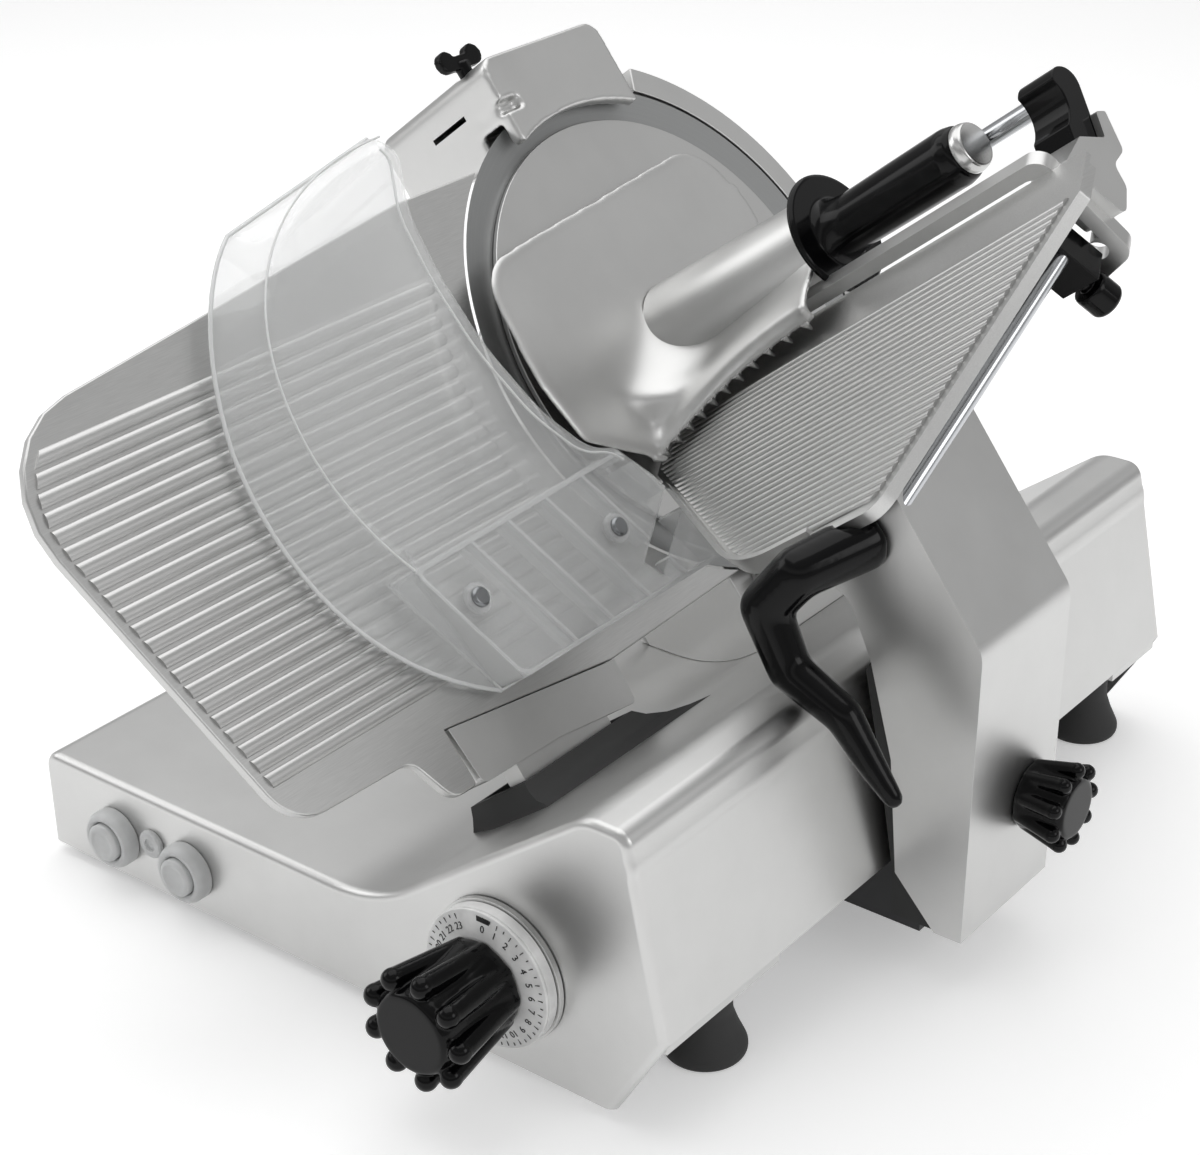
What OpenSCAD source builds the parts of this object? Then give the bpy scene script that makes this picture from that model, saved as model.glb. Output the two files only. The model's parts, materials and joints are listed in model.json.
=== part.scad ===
// Gravity-feed food slicer with a tilted blade. Millimetres, +Z up, the front panel faces -Y,
// the carriage runs along Y on the right, and the origin is under the middle of the machine.

/* [Blade] */
// Diameter of the blade
blade_d = 330; // [324:2:336]
// Lean of the cutting plane from the vertical, in degrees
blade_tilt = 38; // [37:0.5:39]
// Height of the blade's centre over the table
blade_h = 272; // [271:1:276]
// Width of the ground bevel at the blade's rim
bevel_w = 21; // [16:1:26]
// Thickness of the blade's web
web_th = 4; // [3:0.5:5]
// Depth of the dish between the cutting edge and the web
dish = 4.5; // [4:0.25:5]
// Diameter of the blade shaft
shaft_d = 34; // [30:2:38]
// Gap round the running blade
blade_gap = 3; // [2:0.5:5]

/* [Base] */
// Reach of the base in front of the blade's centre
base_front = 387; // [380:1:395]
// Reach of the base behind the blade's centre
base_back = 160; // [150:1:175]
// Reach of the base to the left of the blade's centre
base_left = 196; // [185:1:205]
// Reach of the base to the right of the blade's centre
base_right = 276; // [274:1:278]
// Height of the flat deck over the table
deck_h = 72; // [70:1:74]
// Height of the ridge along the right side
ridge_h = 184; // [180:1:188]
// Width of the flat top of the ridge
ridge_w = 28; // [24:1:34]
// Lean of the right wall between the ridge and its foot
ridge_lean = 24; // [20:1:26]
// Where the slope meets the deck, right of the blade's centre
slope_foot = 76; // [70:1:82]
// Height of the end panels' lower edge over the table
skirt_h = 8; // [7:1:10]
// Height of the right wall's lower edge over the table
wall_end_h = 65; // [64:1:67]
// Inward run of the end panels under the right wall
skirt_in = 34; // [30:1:38]
// Thickness of the cast walls
wall = 5; // [4:0.5:6]
// Round at the deck's left edge and the ridge's outer edge
edge_r = 11; // [9:1:13]
// Round on the inner edge of the ridge
ridge_r = 25; // [18:1:30]
// Hollow round at the foot of the slope
slope_r = 100; // [80:5:110]
// Thickness of the bottom plate
bottom_th = 2; // [1.5:0.5:3]

/* [Feet and rails] */
// Diameter of a foot on the table
foot_d = 48; // [44:1:50]
// Diameter of a foot at its neck
foot_neck = 30; // [26:1:32]
// Height of a foot
foot_h = 57; // [56:0.5:58]
// Distance of the right feet from the blade's centre
foot_right = 242; // [240:1:244]
// Distance of the left feet from the blade's centre
foot_left = 150; // [140:1:160]
// Distance of the front feet behind the front panel
foot_front = 82; // [79:1:83]
// Distance of the rear feet before the rear panel
foot_back = 37; // [36:1:39]
// Diameter of the carriage's slide rod
slide_d = 20; // [18:1:21]
// Where the slide rod runs, right of the blade's centre
slide_x = 206; // [205:1:208]
// Height of the slide rod over the table
slide_h = 40; // [39:0.5:42]
// Diameter of the second guide rail
rail_d = 10; // [8:1:10]
// Where the second guide rail runs, right of the blade's centre
rail_x = 165; // [163:1:166]
// Height of the second guide rail over the table
rail_h = 30.5; // [30:0.25:31]

/* [Controls] */
// Diameter of a pushbutton's cap
button_d = 24; // [22:1:26]
// Diameter of a pushbutton's collar
collar_d = 37; // [35:1:40]
// How far a pushbutton's collar stands out
collar_out = 11; // [9:1:13]
// How far the cap stands out of its collar
button_out = 3; // [3:0.5:5]
// Length of the cap behind the front panel's face
button_in = 17; // [15:1:20]
// Left button, from the blade's centre
button_x1 = 134; // [130:1:138]
// Right button, from the blade's centre
button_x2 = 72; // [68:1:74]
// Height of the buttons over the table
button_h = 35; // [34:0.5:36]
// Diameter of the indicator lamp
lamp_d = 12; // [10:1:14]
// Height of the indicator lamp over the table
lamp_h = 41; // [40:0.5:42]
// Where the dial sits, right of the blade's centre
dial_x = 168; // [167:0.5:169]
// Height of the dial over the table
dial_h = 69; // [68.5:0.25:69.5]
// Diameter of the scale ring
scale_d = 83; // [80:1:86]
// Depth of the scale ring
scale_th = 11; // [9:1:13]
// Diameter of the fixed collar behind the scale ring
dial_collar_d = 90; // [88:1:94]
// Depth of that fixed collar
dial_collar_th = 4; // [3:0.5:6]
// Diameter over the dial knob's lobes
knob_d = 74; // [70:1:78]
// Length of the dial knob
knob_len = 58; // [52:1:64]
// Number of lobes round each fluted knob
knob_lobes = 9; // [7:1:10]
// Diameter of the dial's shaft
dial_shaft_d = 12; // [10:1:14]
// Cam radius with the gauge plate closed
cam_r = 8; // [7.5:0.25:8.25]
// Full opening of the gauge plate
gauge_open = 24; // [22:1:25]
// Turn of the dial from closed to full opening, in degrees
dial_turn = 330; // [320:5:340]

/* [Gauge plate] */
// Thickness of the gauge plate
gauge_th = 8; // [6:0.5:9]
// Pitch of its ribs
gauge_pitch = 10; // [9:0.5:12]
// Width of a rib
rib_w = 4; // [3:0.2:5]
// Height of a rib
rib_h = 1.8; // [1:0.2:2]
// Depth of the cast block under the plate
gauge_block_th = 34; // [30:1:36]
// Thickness of the slab that carries the plate
slab_th = 16; // [14:1:18]
// Width of that slab
slab_w = 78; // [70:1:80]
// Distance of the slab's front side before the blade's centre
slab_front = 300; // [298:1:302]
// Diameter of the slab's guide rod
gauge_rod_d = 16; // [14:1:18]
// Diameter of the slab's bush
gauge_bush_d = 28; // [26:1:30]

/* [Blade head] */
// Diameter of the head casting round the shaft
head_d = 160; // [150:2:170]
// Width of the neck under it
neck_w = 124; // [116:2:132]
// Where the head's face stands behind the cutting plane
head_back = 14; // [13:0.5:16]
// Diameter of the motor
motor_d = 88; // [80:2:94]
// Length of the motor
motor_len = 58; // [50:2:62]
// Outer diameter of the ring guard
ring_d = 370; // [366:1:376]
// Width of the sharpener hood
hood_w = 116; // [110:2:122]
// Height of the hood's top over the blade's rim, in the plane of the blade
hood_reach = 35; // [32:1:40]
// Front of the hood, before the cutting plane
hood_front = 13; // [11:0.5:13]
// Back of the hood, behind the cutting plane
hood_back = 100; // [90:2:110]

/* [Carriage] */
// Slope of the tray floor against the slicing direction, in degrees
floor_tilt = 34; // [33.5:0.25:34.5]
// Thickness of the tray floor
floor_th = 5; // [4:0.5:6]
// Pitch of the tray's ribs
tray_pitch = 7; // [6:0.5:8]
// Depth of the rim round the tray
rim_depth = 10; // [8:1:10]
// Height of the near lip over the floor
lip_h = 5; // [4:0.5:6]
// Thickness of the rim and the lip
rim_th = 3; // [2.5:0.5:4]
// Depth of the tray frame along the floor
frame_th = 10; // [8:1:12]
// Front of the arm, before the blade's centre
arm_front = 181; // [178:1:183]
// Length of the arm along the base
arm_len = 96; // [90:1:98]
// Reach of the arm right of the blade's centre
arm_right = 331; // [326:1:335]
// Lower end of the arm over the table
arm_foot_h = 35; // [34:0.5:37]
// Diameter of the strut rod
strut_d = 10; // [8:1:11]
// Diameter over the arm knob's lobes
arm_knob_d = 64; // [58:1:70]
// Length of the arm knob
arm_knob_len = 40; // [36:1:44]
// Travel of the carriage towards the front
carriage_fore = 108; // [100:2:108]
// Travel of the carriage towards the rear
carriage_aft = 195; // [170:5:195]

/* [Last-slice pusher] */
// Diameter of the guide rod
rod_d = 12; // [10:1:13]
// Diameter of the sleeve on the guide rod
sleeve_d = 18; // [17:1:20]
// Gap between the plate and the cutting plane
pusher_gap = 16; // [15:1:18]
// Thickness of the pusher's plate
plate_th = 4; // [3:0.5:5]
// Diameter of the tube behind the plate
tube_d = 50; // [46:1:52]
// Diameter of the hand grip
grip_d = 36; // [32:1:40]
// Length of the hand grip with its cap
grip_len = 114; // [104:1:118]
// Diameter of the flange before the grip
flange_d = 76; // [70:1:78]
// Travel of the pusher away from the blade
pusher_travel = 118; // [100:2:120]
// Number of teeth on the skirt
teeth = 11; // [8:1:14]
// Length of a tooth
tooth_len = 5; // [4:0.5:6]

/* [Guard] */
// Thickness of the clear sheet
sheet_th = 3; // [2.5:0.5:3.5]
// Front face of the clear sheet, before the cutting plane
sheet_n = 28; // [27:0.5:30]
// Lower edge of its walls, before the cutting plane
sheet_low = 5; // [4:0.5:6]

/* [Fits] */
// Running clearance of pins, bushes and sleeves
fit = 0.08; // [0.06:0.01:0.1]
// Clearance of parts that pass each other
slack = 0.4; // [0.35:0.05:0.6]
// Overrun of a cut past the face that it opens
over = 20; // [15:1:25]

/* [Hidden] */
$fn = 96;

blade_r = blade_d / 2;
hood_top = blade_r + hood_reach;
deck_z = deck_h - blade_h;
ridge_z = ridge_h - blade_h;
skirt_z = skirt_h - blade_h;
wall_end_z = wall_end_h - blade_h;
ridge_out = base_right - ridge_lean;
foot_top_z = foot_h - blade_h;
slide_z = slide_h - blade_h;
rail_z = rail_h - blade_h;
dial_z = dial_h - blade_h;
inner_front = -base_front + wall;
inner_back = base_back - wall;

// Corners of the outlines: x, y and corner radius, all as shares of the blade's radius.
gauge_shares = [[-3.10, 0.62, 0.38], [-2.73, -0.87, 0.06], [-2.15, -0.93, 0.03], [-2.13, -1.06, 0.05],
  [-1.30, -1.06, 0], [-0.30, -0.93, 0], [-0.30, 0.84, 0], [-1.00, 0.84, 0.06]];
block_shares = [[-2.00, -0.83, 0.03], [-1.98, -1.07, 0.05], [-1.59, -1.08, 0.05], [-1.20, -1.13, 0.04],
  [-1.19, -0.93, 0.03], [-1.33, -0.93, 0.03]];
floor_shares = [[0, 0.025, 0], [0.40, 0.025, 0], [0.40, 2.08, 0.02], [0.21, 2.08, 0.02],
  [-0.77, 1.38, 0.13], [-0.77, 0.73, 0.42]];
tray_corner_shares = [-0.56, -0.46];
frame_shares = [[0.03, 0.055, 0.02], [0.03, 0, 0], [1.87, 0, 0.05], [1.83, -0.41, 0.04], [1.62, -0.465, 0.02],
  [1.62, -0.52, 0.02], [1.885, -0.46, 0.07], [1.93, 0.055, 0.06]];
rod_block_shares = [[0.596, -0.095, 0.02], [0.688, -0.208, 0.02], [0.915, -0.025, 0.07], [0.823, 0.088, 0.07]];
rod_bracket_shares = [[0.44, -0.04, 0.02], [0.44, -0.34, 0.03], [0.56, -0.32, 0.04], [0.61, -0.25, 0.03],
  [0.70, -0.28, 0.03], [0.80, -0.17, 0.01], [0.765, -0.13, 0.01], [0.688, -0.19, 0.01], [0.60, -0.08, 0.01]];
plate_shares = [[-0.57, -0.45, 0.03], [-0.16, -0.18, 0], [0.60, 0.20, 0.06], [0.54, 0.62, 0.24],
  [-0.94, 0.50, 0.20], [-0.97, 0.03, 0.40], [-0.91, -0.24, 0.06]];
skirt_shares = [[0, 0.10], [0.15, 0.30], [0.26, 0.46], [0.28, 0.88]];
fold_shares = [[-1.10, 1.04], [-2.05, 1.02], [-2.27, 0.20], [-1.95, -0.35]];
rim_shares = [[-1.10, 1.08], [-2.25, 1.10], [-2.75, -0.45], [-1.75, -0.84]];
guard_shares = [[-1.75, -0.84], [-0.56, -0.84], [-0.80, -0.32], [-0.95, -0.27], [-1.07, -0.07],
  [-1.15, 0.22], [-1.17, 0.50], [-1.15, 0.76], [-1.05, 0.96]];
rod_shares = [0.12, -0.025];
tube_shares = [-0.038, -0.031];
lever_shares = [[1.55, -1.10, -0.04], [1.45, -1.33, -0.09], [1.36, -1.38, -0.22], [1.46, -1.38, -0.42],
  [1.67, -1.38, -0.52], [1.78, -1.38, -0.66], [1.87, -1.38, -0.76]];
lever_radius_shares = [0.10, 0.09, 0.085, 0.075, 0.065, 0.05, 0.035];
strut_shares = [[1.655, -1.075, 0.095], [1.70, -0.15, 0.70]];

// The machine's extents about the blade's centre, which set its middle
left_end = max(base_left, sin(blade_tilt) * hood_top + cos(blade_tilt) * hood_back);
right_end = arm_right - wall / 2 + slack * 2 + arm_knob_len;
front_end = blade_r * gauge_shares[0].z - arc_centre(blade_r * gauge_shares, 0).x;
back_end = max(base_back, ring_d / 2);
mid_x = (right_end - left_end) / 2;
mid_y = (back_end - front_end) / 2;

// Frames: machine() stands on the blade's centre, cutting() lies in the cutting plane with z as
// its normal, x along the machine and y up the plane, and tray() is turned to the tray's floor.
module machine() {
  translate([-mid_x, -mid_y, blade_h]) children();
}
module cutting() {
  machine() rotate([0, 90 - blade_tilt, 0]) rotate([0, 0, 90]) children();
}
module tray() {
  cutting() tray_in_cutting() children();
}
module tray_in_cutting() {
  translate([blade_r * tray_corner_shares.x, blade_r * tray_corner_shares.y, 0])
    rotate([0, 0, floor_tilt]) children();
}
// An x-z outline swept along the machine between two stations.
module along(front, back) {
  translate([0, back, 0]) rotate([90, 0, 0]) linear_extrude(back - front) children();
}
// A floor outline between two heights over the floor.
module floor_layer(low, high) {
  translate([0, high, 0]) rotate([90, 0, 0]) linear_extrude(high - low) children();
}
// A side outline of the tray between two distances up the floor.
module side_layer(near, far) {
  translate([far, 0, 0]) rotate([0, -90, 0]) linear_extrude(far - near) children();
}
module layer(low, high) {
  translate([0, 0, low]) linear_extrude(high - low) children();
}
module rod(r, low, high) {
  translate([0, 0, low]) cylinder(r = r, h = high - low);
}
module ring(outer, inner, low, high) {
  rotate_extrude() translate([inner, low]) square([outer - inner, high - low]);
}
module on_front(x, z) {
  machine() translate([x, -base_front, z]) rotate([90, 0, 0]) children();
}
module on_table(x, y) {
  machine() translate([x, y, -blade_h]) children();
}

// Outlines with true arcs: each corner is [x, y, radius]. A nick keeps a round just inside its sides.
function unit(v) = v / norm(v);
function flat(p) = [p.x, p.y];
function to_last(p, i) = unit(flat(p[(i + len(p) - 1) % len(p)]) - flat(p[i]));
function to_next(p, i) = unit(flat(p[(i + 1) % len(p)]) - flat(p[i]));
function half_corner(p, i) = acos(to_last(p, i) * to_next(p, i)) / 2;
function turns_out(p, i) = cross(-to_last(p, i), to_next(p, i)) > 0;
function reach(p, i) = p[i].z / tan(half_corner(p, i));
function arc_centre(p, i) = flat(p[i]) + unit(to_last(p, i) + to_next(p, i)) * p[i].z / sin(half_corner(p, i));
function corner_points(p, i) = p[i].z > 0
  ? [flat(p[i]) + to_last(p, i) * reach(p, i), flat(p[i]) + to_next(p, i) * reach(p, i)]
  : [flat(p[i])];
module outline(p, nick = 0) {
  difference() {
    union() {
      polygon([for (i = [0:len(p) - 1]) each corner_points(p, i)]);
      for (i = [0:len(p) - 1])
        if (p[i].z > 0 && turns_out(p, i)) translate(arc_centre(p, i)) circle(r = p[i].z - nick);
    }
    for (i = [0:len(p) - 1])
      if (p[i].z > 0 && !turns_out(p, i)) translate(arc_centre(p, i)) circle(r = p[i].z - nick);
  }
}
function side(p, i) = turns_out(p, i) ? 1 : -1;
function inset(p, d) = [for (i = [0:len(p) - 1])
  let (q = flat(p[i]) + side(p, i) * unit(to_last(p, i) + to_next(p, i)) * d / sin(half_corner(p, i)))
  [q.x, q.y, p[i].z > 0 ? max(0, p[i].z - side(p, i) * d) : 0]];
function curve(c, u) = pow(1 - u, 3) * c[0] + 3 * u * pow(1 - u, 2) * c[1]
  + 3 * u * u * (1 - u) * c[2] + pow(u, 3) * c[3];
function curve_points(c, steps) = [for (i = [0:steps]) curve(c, i / steps)];

// Base
function base_profile() = [[-base_left, skirt_z, 0], [base_right - skirt_in, skirt_z, 0],
  [base_right, wall_end_z, 0], [ridge_out, ridge_z, edge_r], [ridge_out - ridge_w, ridge_z, ridge_r],
  [slope_foot, deck_z, slope_r], [-base_left, deck_z, edge_r]];
function cavity_profile() = [[-base_left + wall, skirt_z - over, 0], [base_right - skirt_in, skirt_z - over, 0],
  [base_right - wall, skirt_z, 0], [base_right - wall, wall_end_z, 0], [ridge_out - wall, ridge_z - wall, edge_r - wall],
  [ridge_out - ridge_w + wall / 3, ridge_z - wall, ridge_r - wall],
  [slope_foot + wall / 3, deck_z - wall, slope_r + wall], [-base_left + wall, deck_z - wall, edge_r - wall]];
module base_block() {
  along(-base_front, base_back) outline(base_profile());
}
slot_gap = slack * 5;
slot_front = slab_front + slot_gap;
slot_high = slot_gap;
slot_low = -slab_th - gauge_open - slot_gap;
slope_t = sin(-blade_tilt) * slope_foot + cos(blade_tilt) * deck_z;
gaiter_step = wall * 0.56;
gaiter_folds = 5;
module slab_slot(grow) {
  translate([-slot_front - grow, slope_t - blade_r, slot_low - grow])
    cube([slab_w + slot_gap * 2 + grow * 2, blade_r + wall * 4, slot_high - slot_low + grow * 2]);
}
module housing() color([0.80, 0.80, 0.79]) {
  difference() {
    machine() difference() {
      base_block();
      along(inner_front, inner_back) outline(cavity_profile());
      along(inner_front, inner_back)
        translate([base_right - skirt_in - wall * 2, skirt_z - over])
        square([skirt_in + wall * 2 + over, wall_end_z - skirt_z + over]);
    }
    cutting() slab_slot(0);
    for (x = [-button_x1, -button_x2])
      on_front(x, button_h - blade_h) rod(button_d / 2 + slack, -wall * 2, over);
    on_front(-(button_x1 + button_x2) / 2, lamp_h - blade_h) rod(lamp_d / 2, -wall * 2, over);
    on_front(dial_x, dial_z) rod(dial_shaft_d / 2 + fit, -wall * 2, over);
  }
  for (y = [-base_front + foot_front, base_back - foot_back]) {
    machine() translate([foot_right - foot_neck, y < 0 ? inner_front : y - foot_neck * 0.8, foot_top_z])
      cube([foot_neck + base_right - foot_right - wall / 2, abs(y < 0 ? y - inner_front : inner_back - y) + foot_neck * 0.8,
        wall_end_z - foot_top_z + wall]);
    on_table(-foot_left, y) rod(foot_neck * 0.65, foot_h, deck_h - wall / 2);
  }
}
module bottom_plate() color([0.55, 0.56, 0.57]) difference() {
  machine() translate([-base_left + wall, inner_front, skirt_z + wall / 2])
    cube([base_left + rail_x - rail_d * 2 - wall, inner_back - inner_front, bottom_th]);
  for (y = [-base_front + foot_front, base_back - foot_back])
    on_table(-foot_left, y) rod(foot_d / 2 + slack, -over, foot_h);
}
module feet() color([0.10, 0.10, 0.10])
  for (x = [-foot_left, foot_right], y = [-base_front + foot_front, base_back - foot_back])
    on_table(x, y) rotate_extrude() polygon([[0, 0], [foot_d / 2 - wall / 4, 0], [foot_d / 2, wall / 2],
      [foot_d / 2, wall], [foot_neck * 0.6, foot_h / 3], [foot_neck / 2, foot_h / 2], [foot_neck / 2, foot_h], [0, foot_h]]);
module dial_collar() color([0.72, 0.72, 0.72])
  on_front(dial_x, dial_z) ring(dial_collar_d / 2, dial_shaft_d / 2 + fit, 0, dial_collar_th);
module button_collars() color([0.66, 0.67, 0.67])
  for (x = [-button_x1, -button_x2]) on_front(x, button_h - blade_h) rotate_extrude()
    polygon([[button_d / 2 + slack, 0], [collar_d / 2, 0], [collar_d / 2, collar_out * 0.7],
      [collar_d / 2 - wall / 2, collar_out], [button_d / 2 + slack, collar_out]]);
module indicator_lamp() color([0.45, 0.46, 0.46])
  on_front(-(button_x1 + button_x2) / 2, lamp_h - blade_h) {
    rod(lamp_d / 2, -wall * 2, wall / 2);
    ring(lamp_d * 0.75, lamp_d / 3, 0, wall * 0.6);
  }
module control_board() color([0.15, 0.32, 0.22]) machine()
  translate([-button_x1 - collar_d / 2, inner_front, button_h - blade_h - collar_d * 0.5]) {
    difference() {
      cube([button_x1 - button_x2 + collar_d, button_in * 2, collar_d * 1.2]);
      translate([wall, -over, wall]) cube([button_x1 - button_x2 + collar_d - wall * 2,
        over + button_in * 2 - wall, collar_d * 1.2 - wall * 2]);
    }
  }
module slide_rod() color([0.75, 0.76, 0.78])
  machine() translate([slide_x, inner_front, slide_z]) rotate([-90, 0, 0]) rod(slide_d / 2, 0, inner_back - inner_front);
module guide_rail() color([0.70, 0.71, 0.73])
  machine() translate([rail_x, inner_front, rail_z]) rotate([-90, 0, 0]) rod(rail_d / 2, 0, inner_back - inner_front);

// Gauge plate, its slab and bush, and the cam that sets the slice
dial_t = -sin(blade_tilt) * dial_x + cos(blade_tilt) * dial_z;
dial_n = cos(blade_tilt) * dial_x + sin(blade_tilt) * dial_z;
slab_mid = -slab_front + slab_w / 2;
gauge_rod_t = dial_t + gauge_bush_d * 0.3;
pin_r = wall;
pin_n = dial_n - cam_r - pin_r - slack * 2;
cam_back = -slab_front - wall;
cam_th = wall * 2;
bush_low = -slab_th - wall * 3;
bush_high = wall * 2;
module gauge_guide_rod() color([0.75, 0.76, 0.78])
  cutting() translate([slab_mid, gauge_rod_t, 0])
    rod(gauge_rod_d / 2, bush_low - gauge_open - wall * 2.4, bush_high + wall * 3);
module gauge_guide_bracket() color([0.60, 0.61, 0.62]) cutting() difference() {
  for (n = [bush_low - gauge_open - wall * 2.4, bush_high + wall])
    translate([slab_mid - gauge_rod_d, gauge_rod_t - gauge_rod_d * 0.8, n])
      cube([gauge_rod_d * 2, slope_t - wall / 2 - gauge_rod_t + gauge_rod_d * 0.8, wall * 2]);
  translate([slab_mid, gauge_rod_t, 0]) rod(gauge_rod_d / 2, -blade_r, blade_r);
  rotate([0, 0, -90]) rotate([0, blade_tilt - 90, 0]) difference() {
    translate([-blade_r, -base_front, ridge_z * 2.5]) cube([blade_r * 3, base_front * 2, -ridge_z * 3]);
    along(inner_front, inner_back) outline(cavity_profile());
  }
}
module gauge_gaiter() color([0.07, 0.07, 0.07]) cutting() difference() {
  for (i = [1:gaiter_folds]) let (w = wall * (1 + gaiter_folds - i) * 0.9)
    translate([-slot_front - w, slope_t - wall * 2, slot_low - w])
    cube([slab_w + slot_gap * 2 + w * 2, wall * 2 + gaiter_step * i, slot_high - slot_low + w * 2]);
  slab_slot(0);
  rotate([0, 0, -90]) rotate([0, blade_tilt - 90, 0]) base_block();
}
module gauge_plate() color([0.78, 0.78, 0.77]) cutting() difference() {
  union() {
    layer(-gauge_th, -rib_h) outline(blade_r * gauge_shares);
    intersection() {
      layer(-gauge_th, 0) outline(inset(blade_r * gauge_shares, gauge_th));
      for (t = [-blade_r * 0.7:gauge_pitch:blade_r * 0.55])
        translate([-blade_r * 3, t - rib_w / 2, -gauge_th]) cube([blade_r * 2.9, rib_w, gauge_th]);
    }
  }
  rod(blade_r + blade_gap, -blade_r, blade_r);
}
module gauge_carrier() color([0.70, 0.70, 0.69]) cutting() difference() {
  union() {
    layer(-gauge_block_th, -gauge_th) outline(blade_r * block_shares);
    translate([-slab_front, dial_t - gauge_bush_d * 0.3, -slab_th])
      cube([slab_w, -dial_t + gauge_bush_d * 0.3 - blade_r * 1.065, slab_th - rib_h]);
  }
  translate([slab_mid, gauge_rod_t, 0]) rod(gauge_bush_d / 2, -blade_r, blade_r);
  translate([-slab_front, dial_t, pin_n]) rotate([0, 90, 0]) rod(pin_r, -over, over);
}
module gauge_bush() color([0.72, 0.58, 0.30])
  cutting() translate([slab_mid, gauge_rod_t, 0]) ring(gauge_bush_d / 2, gauge_rod_d / 2 + fit, bush_low, bush_high);
module cam_pin() color([0.72, 0.73, 0.75])
  cutting() translate([-slab_front, dial_t, pin_n]) rotate([0, 90, 0]) rod(pin_r, -wall - cam_th - slack, over);
module thickness_knob() color([0.06, 0.06, 0.06]) on_front(dial_x, dial_z)
  fluted(knob_d / 2, dial_collar_th + scale_th + slack, knob_len);
module scale_ring() color([0.82, 0.82, 0.81]) on_front(dial_x, dial_z) {
  ring(scale_d / 2, dial_shaft_d / 2, dial_collar_th + slack, dial_collar_th + slack + scale_th);
}
module gauge_cam() color([0.60, 0.61, 0.62]) {
  on_front(dial_x, dial_z) rod(dial_shaft_d / 2, cam_back + base_front > 0 ? -base_front - cam_back : 0,
    dial_collar_th + slack + scale_th);
  cutting() translate([cam_back, dial_t, dial_n]) rotate([0, -90, 0]) linear_extrude(cam_th) difference() {
    cam_outline();
    translate([pin_n - dial_n, 0]) circle(r = pin_r + slack * 1.5);
  }
}
function cam_reach(a) = cam_r + gauge_open * max(0, a) / dial_turn;
module cam_outline() polygon([for (i = [0:90]) let (a = i * 4, f = a <= dial_turn ? a : dial_turn * (360 - a) / (360 - dial_turn))
  cam_reach(f) * [cos(180 - a), sin(180 - a)]]);

// Fluted knob with ball-ended lobes
module fluted(r, low, length) {
  lobe_r = r * 0.17;
  rod(r * 0.78, low, low + length - lobe_r);
  rod(r * 0.62, low, low + length);
  for (i = [0:knob_lobes - 1]) rotate([0, 0, i * 360 / knob_lobes]) translate([r - lobe_r, 0, low]) {
    cylinder(r1 = lobe_r * 0.8, r2 = lobe_r, h = length - lobe_r);
    translate([0, 0, length - lobe_r]) sphere(r = lobe_r, $fn = 32);
  }
}

// Pushbuttons
module button(x) on_front(x, button_h - blade_h) rotate_extrude() polygon([[0, -button_in],
  [button_d / 2, -button_in], [button_d / 2, collar_out + button_out * 0.6],
  [button_d / 2 - button_out * 0.6, collar_out + button_out], [0, collar_out + button_out]]);
module start_button() color([0.62, 0.63, 0.63]) button(-button_x1);
module stop_button() color([0.62, 0.63, 0.63]) button(-button_x2);

// Blade head
head_top = blade_r * 0.92;
module head_outline(grow) {
  circle(r = head_d / 2 - grow);
  translate([-neck_w / 2 + grow, -blade_r * 1.35]) square([neck_w - grow * 2, blade_r * 1.35]);
}
belt_room = wall * 6.8;
head_depth = motor_len + belt_room;
motor_t = -blade_r * 0.75;
pulley_r = head_d * 0.28;
drive_r = head_d * 0.12;
module blade_head() color([0.74, 0.74, 0.73]) cutting() difference() {
  union() {
    layer(-head_back - head_depth, -head_back) head_outline(0);
    intersection() {
      translate([-hood_w / 4, 0, -head_back - head_depth / 2]) cube([hood_w / 2, blade_r, head_depth / 2]);
      rod(head_top, -blade_r, blade_r);
    }
  }
  layer(-blade_r, -head_back - wall) head_outline(wall);
  rod(shaft_d / 2 + wall * 1.5, -blade_r, 0);
  rotate([0, 0, -90]) rotate([0, blade_tilt - 90, 0]) base_block();
}
module head_cover() color([0.70, 0.70, 0.69]) cutting() difference() {
  layer(-head_back - head_depth - wall, -head_back - head_depth) head_outline(0);
  rotate([0, 0, -90]) rotate([0, blade_tilt - 90, 0]) base_block();
}
module blade_bearings() color([0.55, 0.56, 0.58]) cutting()
  ring(shaft_d / 2 + wall * 1.5, shaft_d / 2 + fit, -head_back - wall, -head_back);
module motor() color([0.35, 0.36, 0.38]) cutting() translate([0, motor_t, 0])
  difference() {
    rod(motor_d / 2, -head_back - head_depth, -head_back - head_depth + motor_len);
    rod(drive_r / 2 + fit, -head_back - head_depth + motor_len - wall * 2, 0);
  }
belt_high = -head_back - wall * 2;
belt_low = belt_high - wall * 2;
module motor_pulley() color([0.60, 0.61, 0.62]) cutting() translate([0, motor_t, 0]) {
  rod(drive_r / 2, -head_back - head_depth + motor_len - wall * 2, belt_high + wall / 2);
  rod(drive_r, belt_low - wall / 4, belt_high + wall / 4);
}
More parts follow.
